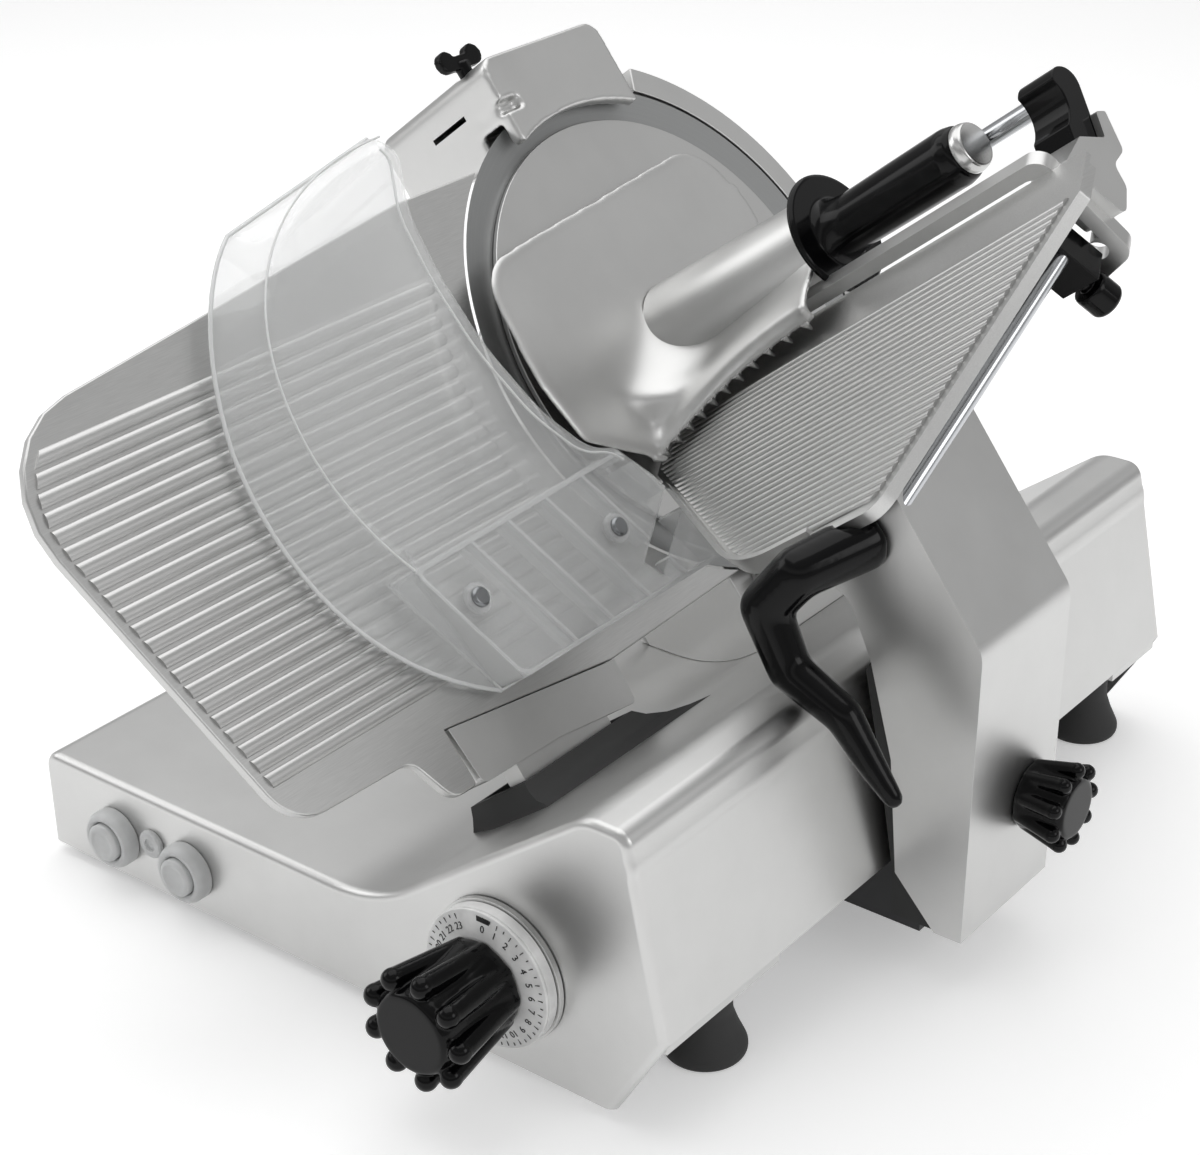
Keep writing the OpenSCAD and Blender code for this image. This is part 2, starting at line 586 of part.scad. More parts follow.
// A band round two circles, with its straight runs on their common tangents
module band(r1, r2, d) {
  a = asin((r1 - r2) / d);
  circle(r = r1);
  translate([0, -d]) circle(r = r2);
  polygon([r1 * [cos(a), -sin(a)], [0, -d] + r2 * [cos(a), -sin(a)],
    [0, -d] + r2 * [-cos(a), -sin(a)], r1 * [-cos(a), -sin(a)]]);
}
module drive_belt() color([0.08, 0.08, 0.08]) cutting() layer(belt_low, belt_high) difference() {
  band(pulley_r + slack + wall / 2, drive_r + slack + wall / 2, -motor_t);
  band(pulley_r + slack, drive_r + slack, -motor_t);
}
module blade_shaft() color([0.72, 0.73, 0.75]) cutting() difference() {
  union() {
    rod(shaft_d / 2, -head_back - head_depth / 2, -dish - web_th);
    rod(pulley_r, belt_low - wall / 4, belt_high + wall / 4);
  }
  rod(shaft_d / 4, -blade_r, blade_r);
}
module blade() color([0.78, 0.79, 0.81]) cutting() rotate_extrude() polygon([[shaft_d / 4, -dish - web_th],
  [shaft_d / 4, -dish], [blade_r - bevel_w, -dish], [blade_r, -slack], [blade_r, -slack * 2],
  [blade_r - bevel_w / 2, -dish - web_th / 2], [blade_r - bevel_w, -dish - web_th]]);
module knife_cover() color([0.72, 0.72, 0.72]) cutting() {
  rod(blade_r - bevel_w - slack * 2, -dish + slack * 2, 0);
  rod(shaft_d / 4 - slack, -head_back - head_depth, 0);
}
module ring_guard() color([0.62, 0.62, 0.62]) cutting() rotate([0, 0, -105]) rotate_extrude(angle = 168)
  polygon([[head_d * 0.4, -head_back], [ring_d / 2, -head_back], [ring_d / 2, -slack * 2],
    [blade_r + blade_gap, -slack * 2], [blade_r + blade_gap, -head_back + blade_gap], [head_d * 0.4, -head_back + blade_gap]]);
hood_left = -hood_w * 0.485;
hood_right = hood_w * 0.515;
hood_corner = wall * 2.3;
function hood_outline() = [[hood_left, blade_r * 0.86, wall], [hood_right, blade_r * 0.70, wall],
  [hood_right, hood_top, hood_corner], [hood_left, hood_top, hood_corner]];
wing_x = hood_left + hood_corner * 1.1;
wing_n = -hood_front;
module sharpener_hood() color([0.76, 0.76, 0.75]) cutting() difference() {
  layer(-hood_back, hood_front) difference() {
    outline(hood_outline());
    circle(r = head_top);
  }
  rod(blade_r + blade_gap, -head_back - blade_gap, blade_gap);
  translate([-hood_w / 2 + wall, head_top + wall * 1.5, -hood_back + wall])
    cube([hood_w - wall * 2, hood_top - head_top - wall * 3.5, hood_back - wall + blade_gap]);
  translate([wing_x, hood_top, wing_n]) rotate([-90, 0, 0]) rod(wall + fit, -wall * 2 - slack, over);
  translate([hood_left - over, head_top + hood_corner, -hood_front]) cube([over + wall * 3.2, wall * 1.6, hood_front + over]);
}
module sharpener_stones() color([0.52, 0.46, 0.40]) cutting()
  for (x = [-1, 1]) translate([x * hood_w / 5, blade_r + blade_gap + hood_w * 0.08, 0]) {
    rod(hood_w * 0.08, -head_back, -head_back / 2);
    rod(wall * 0.6, -head_back / 2, blade_gap);
  }
module sharpener_knob() color([0.06, 0.06, 0.06]) cutting()
  translate([wing_x, hood_top, wing_n]) rotate([-90, 0, 0]) {
    rod(wall, -wall * 2, wall * 1.6);
    translate([0, wall * 0.6, 0]) rotate([90, 0, 0]) linear_extrude(wall * 1.2) {
      translate([-wall * 2.4, wall * 0.8]) square([wall * 4.8, wall * 1.8]);
      for (x = [-1, 1]) translate([x * wall * 2.4, wall * 2.2]) circle(r = wall * 1.4);
    }
  }
module base_screws() color([0.45, 0.46, 0.47])
  for (x = [-base_left + wall * 4, rail_x - rail_d * 4], y = [-base_front + wall * 4, base_back - wall * 4])
    machine() translate([x, y, skirt_z]) rod(wall * 0.8, 0, wall / 2);

// Carriage
function arm_profile() = [[arm_right - floor_th * 4, arm_foot_h - blade_h, 0], [arm_right - wall / 2, arm_foot_h - blade_h, 0],
  [arm_right, -blade_r * 0.315, blade_r * 0.12], [arm_right - blade_r * 0.80, blade_r * 0.745, 0],
  [blade_r * 1.03, -blade_r * 0.235, 0], [blade_r * 1.26, -blade_r * 0.16, blade_r * 0.1],
  [blade_r * 1.50, -blade_r * 0.27, blade_r * 0.1], [blade_r * 1.59, -blade_r * 0.47, blade_r * 0.2],
  [blade_r * 1.685, -blade_r * 0.82, 0], [base_right + wall * 1.6, wall_end_z, 0]];
function liner_profile() = [[blade_r * 1.59, -blade_r * 0.47, 0], [blade_r * 1.565, -blade_r * 0.52, 0],
  [ridge_out + ridge_lean * 0.4 + wall * 1.4, -blade_r * 0.83, 0], [base_right + wall, wall_end_z - wall * 0.6, 0],
  [base_right + wall, arm_foot_h - blade_h, 0], [arm_right - floor_th * 4, arm_foot_h - blade_h, 0],
  [base_right + wall * 1.6, wall_end_z, 0], [blade_r * 1.685, -blade_r * 0.82, 0]];
arm_back = -arm_front + arm_len;
module above_tray(gap) {
  rotate([0, 90 - blade_tilt, 0]) rotate([0, 0, 90]) tray_in_cutting()
    translate([-blade_r * 2, -floor_th - gap, -blade_r]) cube([blade_r * 4, blade_r * 2, blade_r * 5]);
}
module arm_block() difference() {
  along(-arm_front, arm_back) outline(arm_profile());
  above_tray(0);
}
arm_knob_y = -arm_front + arm_len * 0.69;
arm_knob_z = -blade_r * 1.03;
module on_arm() {
  machine() translate([arm_right - wall / 2 + slack, arm_knob_y, arm_knob_z]) rotate([0, 90, 0]) children();
}
module carriage_arm() color([0.78, 0.78, 0.77]) difference() {
  machine() arm_block();
  on_arm() rod(wall + fit, -over, over);
}
module arm_liner() color([0.08, 0.08, 0.08]) difference() {
  machine() along(-arm_front + wall / 2, arm_back - wall / 2) polygon([for (p = liner_profile()) flat(p)]);
  machine() arm_block();
}
foot_y = -arm_front + arm_len * 0.47;
foot_len = arm_len * 0.62;
foot_low_z = slide_z - slide_d;
foot_high_z = wall_end_z - wall;
module carriage_foot() color([0.20, 0.20, 0.21]) difference() {
  machine() difference() {
    union() {
      along(foot_y - foot_len / 2, foot_y + foot_len / 2) translate([slide_x - slide_d * 0.9, foot_low_z])
        square([arm_right - wall * 4 - slide_x, foot_high_z - foot_low_z]);
      along(foot_y - foot_len / 2, foot_y + foot_len / 2) translate([rail_x - rail_d / 2, foot_low_z])
        square([slide_x - rail_x, rail_z + rail_d - foot_low_z]);
    }
    arm_block();
    along(-arm_front + wall / 2, arm_back - wall / 2) polygon([for (p = liner_profile()) flat(p)]);
    along(-base_front, base_back) translate([rail_x - rail_d * 2, rail_z - rail_d / 2 - slack])
      square([rail_d * 2.5 + slack, rail_d + slack * 2]);
  }
  machine() translate([slide_x, 0, slide_z]) rotate([-90, 0, 0]) rod(slide_d / 2 + wall * 0.6, -base_front, base_back);
}
module slide_bush() color([0.72, 0.58, 0.30])
  machine() translate([slide_x, 0, slide_z]) rotate([-90, 0, 0])
    ring(slide_d / 2 + wall * 0.6, slide_d / 2 + fit, foot_y - foot_len / 2, foot_y + foot_len / 2);
function floor_outline() = blade_r * floor_shares;
module tray_body() {
  floor_layer(-floor_th, -rib_h) outline(floor_outline());
  intersection() {
    floor_layer(-floor_th, 0) outline(inset(floor_outline(), tray_pitch));
    for (e = [-blade_r * 0.72:tray_pitch:blade_r * 0.13])
      translate([e, -floor_th, 0]) cube([tray_pitch * 0.45, floor_th, blade_r * 2.1]);
  }
  difference() {
    union() {
      floor_layer(-rim_depth, -rib_h) outline(floor_outline());
      intersection() {
        floor_layer(-rim_depth, lip_h) outline(floor_outline());
        translate([-blade_r, -rim_depth, 0]) cube([blade_r * 0.88, rim_depth * 2, blade_r * 1.1]);
      }
    }
    floor_layer(-rim_depth - over, over) outline(inset(floor_outline(), rim_th));
    translate([blade_r * 0.35, -over - floor_th, 0]) cube([blade_r, over, blade_r * 3]);
  }
}
module product_tray() color([0.76, 0.76, 0.75]) difference() {
  tray() tray_body();
  machine() arm_block();
}
module tray_frame() color([0.78, 0.78, 0.77])
  tray() side_layer(blade_r * 0.40, blade_r * 0.40 + frame_th) outline(blade_r * frame_shares);
rod_far = blade_r * 1.88;
module on_rod() {
  cutting() translate([blade_r * rod_shares.x, blade_r * rod_shares.y, 0]) children();
}
module guide_rod() color([0.78, 0.79, 0.80]) on_rod() rod(rod_d / 2, pusher_gap * 1.5, rod_far);
block_low = blade_r * 1.76;
block_high = blade_r * 1.92;
module grip_way() {
  on_tube() rod(grip_d / 2 + slack * 2, blade_r, blade_r * 3);
}
module rod_block() color([0.07, 0.07, 0.07]) difference() {
  tray() layer(block_low, block_high) outline(blade_r * rod_block_shares);
  grip_way();
  on_rod() rod(rod_d / 2, -blade_r, rod_far);
}
module rod_bracket() color([0.74, 0.74, 0.73]) difference() {
  tray() difference() {
    layer(block_low + wall, block_high + wall) outline(blade_r * rod_bracket_shares);
    layer(block_low, block_high + slack) outline(blade_r * rod_block_shares);
    side_layer(blade_r * 0.40, blade_r * 0.40 + frame_th) outline(blade_r * frame_shares);
  }
  grip_way();
}
module strut_rod() color([0.74, 0.75, 0.77]) difference() {
  machine() strut(blade_r * strut_shares[0], blade_r * strut_shares[1], strut_d / 2);
  machine() arm_block();
  tray() clamp_solid();
  tray() tray_body();
}
module strut(a, b, r) {
  d = b - a;
  translate(a) rotate([0, acos(d.z / norm(d)), atan2(d.y, d.x)]) cylinder(r = r, h = norm(d));
}
clamp_e = blade_r * 0.32;
clamp_low = -blade_r * 0.40;
clamp_n = blade_r * 1.72;
module clamp_solid() {
  side_layer(blade_r * 0.28, blade_r * 0.40) translate([blade_r * 1.64, clamp_low])
    square([blade_r * 0.16, blade_r * 0.30]);
}
module clamp_block() color([0.08, 0.08, 0.08]) tray() difference() {
  clamp_solid();
  translate([clamp_e, clamp_low, clamp_n]) rotate([90, 0, 0]) rod(wall + fit, -over, over);
  tray_body();
}
module clamp_knob() color([0.08, 0.08, 0.08]) tray()
  translate([clamp_e, clamp_low - slack, clamp_n]) rotate([90, 0, 0]) {
    rod(wall, -over * 0.8, wall);
    rod(wall * 2.2, wall, wall * 4.4);
  }
module push_handle() color([0.05, 0.05, 0.05]) difference() {
  machine() for (i = [0:len(lever_shares) - 2]) hull() {
    translate(blade_r * lever_shares[i]) sphere(r = blade_r * lever_radius_shares[i], $fn = 24);
    translate(blade_r * lever_shares[i + 1]) sphere(r = blade_r * lever_radius_shares[i + 1], $fn = 24);
  }
  machine() along(-arm_front, base_back) translate([0, -blade_r]) square([base_front, base_front]);
  tray() tray_body();
}
module arm_knob() color([0.06, 0.06, 0.06]) on_arm() {
  rod(wall, -over, wall * 2);
  fluted(arm_knob_d / 2, wall * 0.2, arm_knob_len);
}

// Clear guard: a flat sheet with a flared wall, and a moulded box by the tray's near corner
guard_steps = 10;
function rim_n(u) = u < 0.3 ? sheet_n * 0.62 : sheet_low + (sheet_n * 0.62 - sheet_low) * max(0, 1 - (u - 0.3) / 0.3);
function guard_ring(u) = let (f = blade_r * curve(fold_shares, u), r = blade_r * curve(rim_shares, u),
  w = sheet_th * unit([-f.x * 1.2, -f.y * 0.6]))
  [[f.x, f.y, sheet_n + sheet_th], [r.x, r.y, rim_n(u)], [r.x + w.x, r.y + w.y, rim_n(u)],
   [f.x + w.x, f.y + w.y, sheet_n + sheet_th]];
module flared_wall() polyhedron(
  [for (i = [0:guard_steps]) each guard_ring(i / guard_steps)],
  concat([[0, 1, 2, 3], [for (k = [3:-1:0]) guard_steps * 4 + k]],
    [for (i = [0:guard_steps - 1], k = [0:3]) let (a = i * 4 + k, b = i * 4 + (k + 1) % 4)
      each [[a, b + 4, b], [a, a + 4, b + 4]]]));
guard_points = concat(curve_points(fold_shares, guard_steps), guard_shares);
box_corners = [[-1.95, -0.35], [-1.75, -0.84], [-0.56, -0.84], [-0.80, -0.32]];
module hand_guard() color([0.86, 0.90, 0.92, 0.45]) difference() {
  cutting() {
    layer(sheet_n, sheet_n + sheet_th) polygon(blade_r * guard_points);
    flared_wall();
    layer(sheet_low, sheet_n + sheet_th / 2) difference() {
      polygon(blade_r * box_corners);
      outline(inset([for (c = box_corners) [blade_r * c.x, blade_r * c.y, 0]], sheet_th));
    }
    for (x = [0.25, 0.42, 0.6, 0.78]) let (a = box_corners[1] * (1 - x) + box_corners[2] * x,
      b = box_corners[0] * (1 - x) + box_corners[3] * x)
      layer(sheet_n * 0.5, sheet_n + sheet_th / 2) polygon([blade_r * a, blade_r * a + [sheet_th, 0],
        blade_r * b + [sheet_th, 0], blade_r * b]);
  }
  tray() translate([-blade_r * 0.5, -rim_depth, 0]) cube([blade_r * 2, rim_depth + lip_h, blade_r]);
}
module guard_screws() color([0.70, 0.71, 0.72]) cutting()
  for (p = [[-1.78, -0.53], [-1.05, -0.56]]) translate(blade_r * p) rod(wall * 1.2, sheet_n + sheet_th, sheet_n + sheet_th * 2);

// Last-slice pusher
sleeve_far = blade_r * 0.58;
tube_far = blade_r * 0.88;
hood_rise = 6;
module pusher_sleeve() color([0.70, 0.71, 0.72]) on_rod()
  ring(sleeve_d / 2, rod_d / 2 + fit, pusher_gap * 2, sleeve_far);
module on_tube() {
  cutting() translate([blade_r * tube_shares.x, blade_r * tube_shares.y, 0]) children();
}
module rod_clearance() on_rod() {
  rod(sleeve_d / 2 + wall / 4, pusher_gap * 0.5, tube_far + over * 4);
}
module pusher_plate() color([0.78, 0.78, 0.77]) difference() {
  union() {
    difference() {
      union() {
        cutting() layer(pusher_gap, pusher_gap + plate_th) outline(blade_r * plate_shares, fit / 4);
        on_tube() rod(tube_d / 2, pusher_gap, tube_far);
      }
      rod_clearance();
      tray() translate([blade_r * 0.37, -blade_r, 0]) cube([frame_th * 2, blade_r + frame_th * 1.4, blade_r]);
    }
    on_rod() rod(sleeve_d / 2 + wall, pusher_gap * 2.2, pusher_gap * 3);
    on_rod() rod(sleeve_d / 2 + wall, sleeve_far - pusher_gap * 1.2, sleeve_far - wall);
  }
  on_rod() rod(sleeve_d / 2 + fit, pusher_gap * 1.9, blade_r);
}
skirt_path = blade_r * curve_points(skirt_shares, 12);
module hood_top_half() {
  translate([0, tooth_len * 2.7, -blade_r]) rotate([0, 0, hood_rise]) translate([-blade_r, 0, 0])
    cube([blade_r * 3, blade_r * 2, blade_r * 4]);
}
module pusher_hood() color([0.74, 0.74, 0.73]) difference() {
  tray() difference() {
    union() {
      difference() {
        floor_layer(0, blade_r * 0.5) polygon(concat(skirt_path,
          [[blade_r * 0.70, blade_r * 0.88], [blade_r * 0.70, blade_r * 0.10]]));
        translate([0, -plate_th, 0]) hood_under();
      }
      floor_layer(tooth_len * 1.3, blade_r * 0.5) polygon(concat(skirt_path,
        [for (i = [len(skirt_path) - 1:-1:0]) skirt_path[i] + [plate_th * 0.8, 0]]));
      for (i = [0:teeth - 1]) let (p = blade_r * curve(skirt_shares, (i + 0.5) / teeth))
        translate([p.x + plate_th * 0.4, tooth_len * 1.3 + plate_th / 4, p.y]) rotate([90, 0, 0])
          cylinder(r1 = plate_th * 0.75, r2 = plate_th * 0.1, h = tooth_len);
    }
    hood_top_half();
    translate([blade_r * 0.37, -blade_r, 0]) cube([frame_th * 2, blade_r + frame_th * 1.4, blade_r]);
    translate([-blade_r, -blade_r, 0]) cube([blade_r * 3, blade_r * 2, pusher_gap + plate_th]);
  }
  on_tube() rod(tube_d / 2, 0, blade_r);
  rod_clearance();
}
module hood_under() {
  difference() {
    translate([-blade_r, -blade_r, -blade_r]) cube([blade_r * 3, blade_r * 3, blade_r * 3]);
    hood_top_half();
  }
}
module grip_flange() color([0.05, 0.05, 0.05]) on_tube() difference() {
  rod(flange_d / 2, tube_far, tube_far + wall);
  translate([blade_r * (rod_shares.x - tube_shares.x), blade_r * (rod_shares.y - tube_shares.y), 0])
    rod(sleeve_d / 2 + slack, 0, blade_r * 2);
  frame_way();
}
module frame_way() {
  translate([-blade_r * tube_shares.x, -blade_r * tube_shares.y, 0]) tray_in_cutting()
    translate([blade_r * 0.37, -blade_r, 0]) cube([frame_th * 2, blade_r + frame_th * 1.4, blade_r]);
}
module pusher_grip() color([0.05, 0.05, 0.05]) on_tube()
  rod(grip_d / 2, tube_far + wall, tube_far + wall + grip_len * 0.93);
module grip_cap() color([0.72, 0.73, 0.74]) on_tube()
  rod(grip_d * 0.42, tube_far + wall + grip_len * 0.93, tube_far + wall + grip_len);

housing();
bottom_plate();
feet();
dial_collar();
button_collars();
indicator_lamp();
control_board();
slide_rod();
guide_rail();
gauge_guide_rod();
gauge_guide_bracket();
gauge_gaiter();
blade_head();
head_cover();
motor();
drive_belt();
blade_bearings();
ring_guard();
knife_cover();
sharpener_hood();
sharpener_stones();
base_screws();
blade();
blade_shaft();
motor_pulley();
gauge_plate();
gauge_carrier();
cam_pin();
gauge_bush();
thickness_knob();
scale_ring();
gauge_cam();
start_button();
stop_button();
carriage_arm();
arm_liner();
carriage_foot();
slide_bush();
product_tray();
tray_frame();
guide_rod();
rod_block();
rod_bracket();
strut_rod();
push_handle();
hand_guard();
guard_screws();
clamp_block();
arm_knob();
clamp_knob();
sharpener_knob();
pusher_sleeve();
pusher_plate();
pusher_hood();
pusher_grip();
grip_flange();
grip_cap();
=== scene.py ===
"""Looks of a gravity-feed food slicer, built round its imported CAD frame.

Run as a script: it loads the frame, dresses each group of pieces through its operator and adds the stage.
Lengths in the code are millimetres from the blade's centre unless a comment says otherwise.
"""
import json
from math import atan2, copysign, cos, hypot, pi, radians, sin, sqrt, tan

import bmesh
import bpy
from bpy.props import FloatProperty, FloatVectorProperty, IntProperty, PointerProperty
from mathutils import Matrix, Vector

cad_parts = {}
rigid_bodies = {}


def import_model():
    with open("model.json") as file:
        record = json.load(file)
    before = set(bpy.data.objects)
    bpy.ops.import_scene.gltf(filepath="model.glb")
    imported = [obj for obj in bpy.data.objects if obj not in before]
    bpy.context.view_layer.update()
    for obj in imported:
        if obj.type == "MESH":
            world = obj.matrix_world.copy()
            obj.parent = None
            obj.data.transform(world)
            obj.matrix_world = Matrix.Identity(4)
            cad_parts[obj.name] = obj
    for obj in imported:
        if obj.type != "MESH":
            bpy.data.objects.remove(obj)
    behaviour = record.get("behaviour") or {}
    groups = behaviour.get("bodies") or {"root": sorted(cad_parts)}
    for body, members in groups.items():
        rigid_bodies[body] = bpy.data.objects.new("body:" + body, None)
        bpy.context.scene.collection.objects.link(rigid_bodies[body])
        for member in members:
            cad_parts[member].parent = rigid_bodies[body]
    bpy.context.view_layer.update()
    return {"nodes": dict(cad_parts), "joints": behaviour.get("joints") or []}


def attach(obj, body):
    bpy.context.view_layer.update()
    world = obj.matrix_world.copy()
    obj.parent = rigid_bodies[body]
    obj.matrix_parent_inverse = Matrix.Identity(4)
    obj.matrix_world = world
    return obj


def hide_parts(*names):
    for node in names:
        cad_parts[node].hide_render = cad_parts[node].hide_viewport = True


bl_info = {
    "name": "Food Slicer",
    "version": (1, 0, 0),
    "blender": (4, 5, 0),
    "location": "3D View > Sidebar > Slicer",
    "description": "Dresses a packed food slicer with its castings, clear guard, knobs and stage",
    "category": "Object",
}

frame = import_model()
joints = {j["name"]: j for j in frame["joints"]}

# Frames of the machine, with millimetres inside them
MM = Matrix.Scale(0.001, 4)
STILL = Matrix.Identity(4)
BLADE = Vector(joints["blade_spin"]["pos_m"])
ACROSS = Vector(joints["blade_spin"]["axis"]).normalized()
ALONG = Vector((0, 1, 0))
UPHILL = ACROSS.cross(ALONG)


def shift(x, y, z):
    return Matrix.Translation((x, y, z))


def turned(angle, axis="Z"):
    return Matrix.Rotation(angle, 4, axis)


def axes(origin, x, y, z):
    """A frame with its origin in metres and its three directions, measured in millimetres."""
    turn = Matrix((x, y, z)).transposed().to_4x4()
    return Matrix.Translation(origin) @ turn @ MM


MACHINE = axes(BLADE, (1, 0, 0), (0, 1, 0), (0, 0, 1))
CUTTING = axes(BLADE, ALONG, UPHILL, ACROSS)
TRAY_PLACE, TRAY_TURN = shift(-92.4, -75.9, 0), turned(radians(34))
TRAY = CUTTING @ TRAY_PLACE @ TRAY_TURN
# From an outline in e and n to the tray's e, h and n, and a ridge laid along n with its crest at h = 0.05
FLOOR = Matrix(((1, 0, 0, 0), (0, 0, 1, 0), (0, 1, 0, 0), (0, 0, 0, 1)))
UPRIGHT = Matrix(((0, 1, 0, 0), (0, 0, 1, -1.95), (1, 0, 0, 0), (0, 0, 0, 1)))
# The pusher's rod and tube, in the cutting frame
ROD = shift(19.8, -4.125, 0)
TUBE = shift(-6.27, -5.115, 0)

# The base's two ends along y, and the x and z of what stands on its front
FRONT, BACK = -387, 160
START, STOP, BUTTON_Z = -134, -72, -237
LAMP = (-103, -231)
DIAL = (168, -203)
# The guard's two screws, in the cutting frame
SCREWS = ((-293.7, -87.45), (-173.25, -92.4))
# How a piece is shaded that was melted into one skin
SKIN = {"crease": 80, "weighted": False}


def on_front(x, z):
    """A frame on the front panel, whose z points at the operator."""
    return axes(MACHINE @ Vector((x, FRONT, z)), (1, 0, 0), (0, 0, 1), (0, -1, 0))


def on_joint(name, z, x):
    """A frame on a joint's own point, with z out along the shaft that turns there."""
    z = Vector(z).normalized()
    y = z.cross(Vector(x)).normalized()
    return axes(Vector(joints[name]["pos_m"]), y.cross(z), y, z)


def linear(code):
    """A six-digit sRGB hex colour as linear red, green and blue."""
    parts = [int(code[i:i + 2], 16) / 255 for i in (0, 2, 4)]
    return tuple(c / 12.92 if c <= 0.04045 else ((c + 0.055) / 1.055) ** 2.4 for c in parts)


def length(name, description, default, low, high):
    """A length that the user can set, in metres."""
    return FloatProperty(name=name, description=description, default=default, min=low, max=high, unit="LENGTH")


def tint(name, description, code):
    """A colour that the user can set, from its hex code."""
    return FloatVectorProperty(name=name, description=description, subtype="COLOR", size=3, min=0, max=1,
                               default=linear(code))


class SlicerSizes(bpy.types.PropertyGroup):
    base_edge: length("Base edge", "Round between the base's sides and its ends", 0.008, 0.001, 0.012)
    arm_edge: length("Arm edge", "Round along the carriage arm's long edges", 0.009, 0.001, 0.014)
    small_edge: length("Small edge", "Round on the edges of cast details", 0.0015, 0.0003, 0.003)
    numeral: length("Numeral height", "Height of the numbers on the dial", 0.0042, 0.002, 0.006)
    sheet: length("Guard sheet", "Thickness of the clear guard", 0.0026, 0.0015, 0.0035)
    numerals: IntProperty(name="Numbers on the dial", description="How many numbers follow zero round the dial",
                          default=23, min=5, max=30)


class SlicerColours(bpy.types.PropertyGroup):
    casting: tint("Castings", "Anodised cast aluminium", "D4D4D3")
    plate: tint("Plates", "Machined aluminium plates", "CFCFCE")
    steel: tint("Steel", "Ground blade", "A9AAAA")
    plastic: tint("Knobs", "Glossy black grips and knobs", "070708")
    rubber: tint("Rubber", "Feet and gaiter", "070707")
    caps: tint("Button caps", "Translucent caps over the pushbuttons", "D2D3D3")
    dial: tint("Dial face", "Printed face of the scale ring", "F0F0EF")


def sizes():
    return bpy.context.scene.slicer_sizes


def colours():
    return bpy.context.scene.slicer_colours


# Materials

def add(tree, kind, settings=None, **links):
    """Adds a node, sets its properties and sockets, and links sockets from other nodes' outputs."""
    node = tree.nodes.new(kind)
    for key, value in (settings or {}).items():
        if key in node.inputs:
            node.inputs[key].default_value = value
        else:
            setattr(node, key, value)
    for key, source in links.items():
        socket = node.inputs[int(key[1:])] if key[0] == "_" else node.inputs[key.replace("_", " ")]
        tree.links.new(source, socket)
    return node


def new_material(name):
    material = bpy.data.materials.get(name)
    if material:
        return material, None, None
    material = bpy.data.materials.new(name)
    material.use_nodes = True
    tree = material.node_tree
    return material, tree, tree.nodes["Principled BSDF"]


def set_shader(shader, **values):
    for key, value in values.items():
        shader.inputs[key.replace("_", " ")].default_value = value


def rgba(colour):
    return (*colour, 1.0)


def shades(tree, fac, low, high, colour, dark, light):
    """Colour variation: a ramp between a darker and a lighter shade of one colour."""
    ramp = add(tree, "ShaderNodeValToRGB", Fac=fac)
    ramp.color_ramp.elements[0].position = low
    ramp.color_ramp.elements[1].position = high
    ramp.color_ramp.elements[0].color = rgba([c * dark for c in colour])
    ramp.color_ramp.elements[1].color = rgba([min(1, c * light) for c in colour])
    return ramp.outputs["Color"]


def spread(tree, source, low, high):
    """Stretches a 0 to 1 pattern onto another range."""
    return add(tree, "ShaderNodeMapRange", {"To Min": low, "To Max": high}, Value=source).outputs["Result"]


def noise(tree, where, scale, detail=2.0, **settings):
    """A noise pattern's value."""
    settings.update(Scale=scale, Detail=detail)
    return add(tree, "ShaderNodeTexNoise", settings, Vector=where).outputs["Fac"]


def surface(tree, shader, colour, rough, bump=None, **values):
    """Links a shader's colour, roughness and bump (pattern, strength, depth) and sets its other sockets."""
    if colour:
        tree.links.new(colour, shader.inputs["Base Color"])
    tree.links.new(rough, shader.inputs["Roughness"])
    if bump:
        pattern, strength, depth = bump
        node = add(tree, "ShaderNodeBump", {"Strength": strength, "Distance": depth}, Height=pattern)
        tree.links.new(node.outputs["Normal"], shader.inputs["Normal"])
    set_shader(shader, **values)


def object_space(tree):
    return add(tree, "ShaderNodeTexCoord").outputs["Object"]


def satin_casting():
    """Die-cast aluminium, bead blasted and anodised: a soft, wide sheen with a faint even grain."""
    material, tree, shader = new_material("anodised_aluminium_casting")
    if tree:
        where = object_space(tree)
        # Blasting grit leaves dimples of 0.1 mm. They are drawn 0.7 mm apart, to show at all.
        grain = noise(tree, where, 1400.0, 3.0)
        cloud = noise(tree, where, 14.0, 4.0, Roughness=0.6)
        surface(tree, shader, shades(tree, cloud, 0.3, 0.7, colours().casting, 0.95, 1.02),
                spread(tree, cloud, 0.33, 0.41), (grain, 0.06, 0.0002), Metallic=1.0)
    return material


def milled_plate(name):
    """Aluminium plate, milled and brushed along one direction: long thin streaks that widen the gloss sideways."""
    material, tree, shader = new_material(name)
    if tree:
        where = object_space(tree)
        drawn = add(tree, "ShaderNodeMapping", {"Scale": (1, 0.03, 1)}, Vector=where).outputs["Vector"]
        # Belt grit of 0.05 mm is drawn with streaks 0.4 mm apart.
        streaks = noise(tree, drawn, 2500.0)
        cloud = noise(tree, where, 9.0, 3.0)
        surface(tree, shader, shades(tree, streaks, 0.25, 0.75, colours().plate, 0.90, 1.04),
                spread(tree, cloud, 0.26, 0.40), (streaks, 0.08, 0.0002), Metallic=1.0)
    return material


def turned_metal(name, colour, rough=0.22):
    """Metal turned on a lathe or ground round its axis: a fine even tool grain under a wide, slow cloud of gloss."""
    material, tree, shader = new_material(name)
    if tree:
        where = object_space(tree)
        # Tool marks of 0.1 mm are drawn 0.6 mm apart.
        marks = noise(tree, where, 1000.0 / 0.6)
        cloud = noise(tree, where, 20.0)
        surface(tree, shader, shades(tree, cloud, 0.3, 0.7, colour, 0.94, 1.03),
                spread(tree, cloud, rough * 0.8, rough * 1.3), (marks, 0.03, 0.0001), Metallic=1.0)
    return material


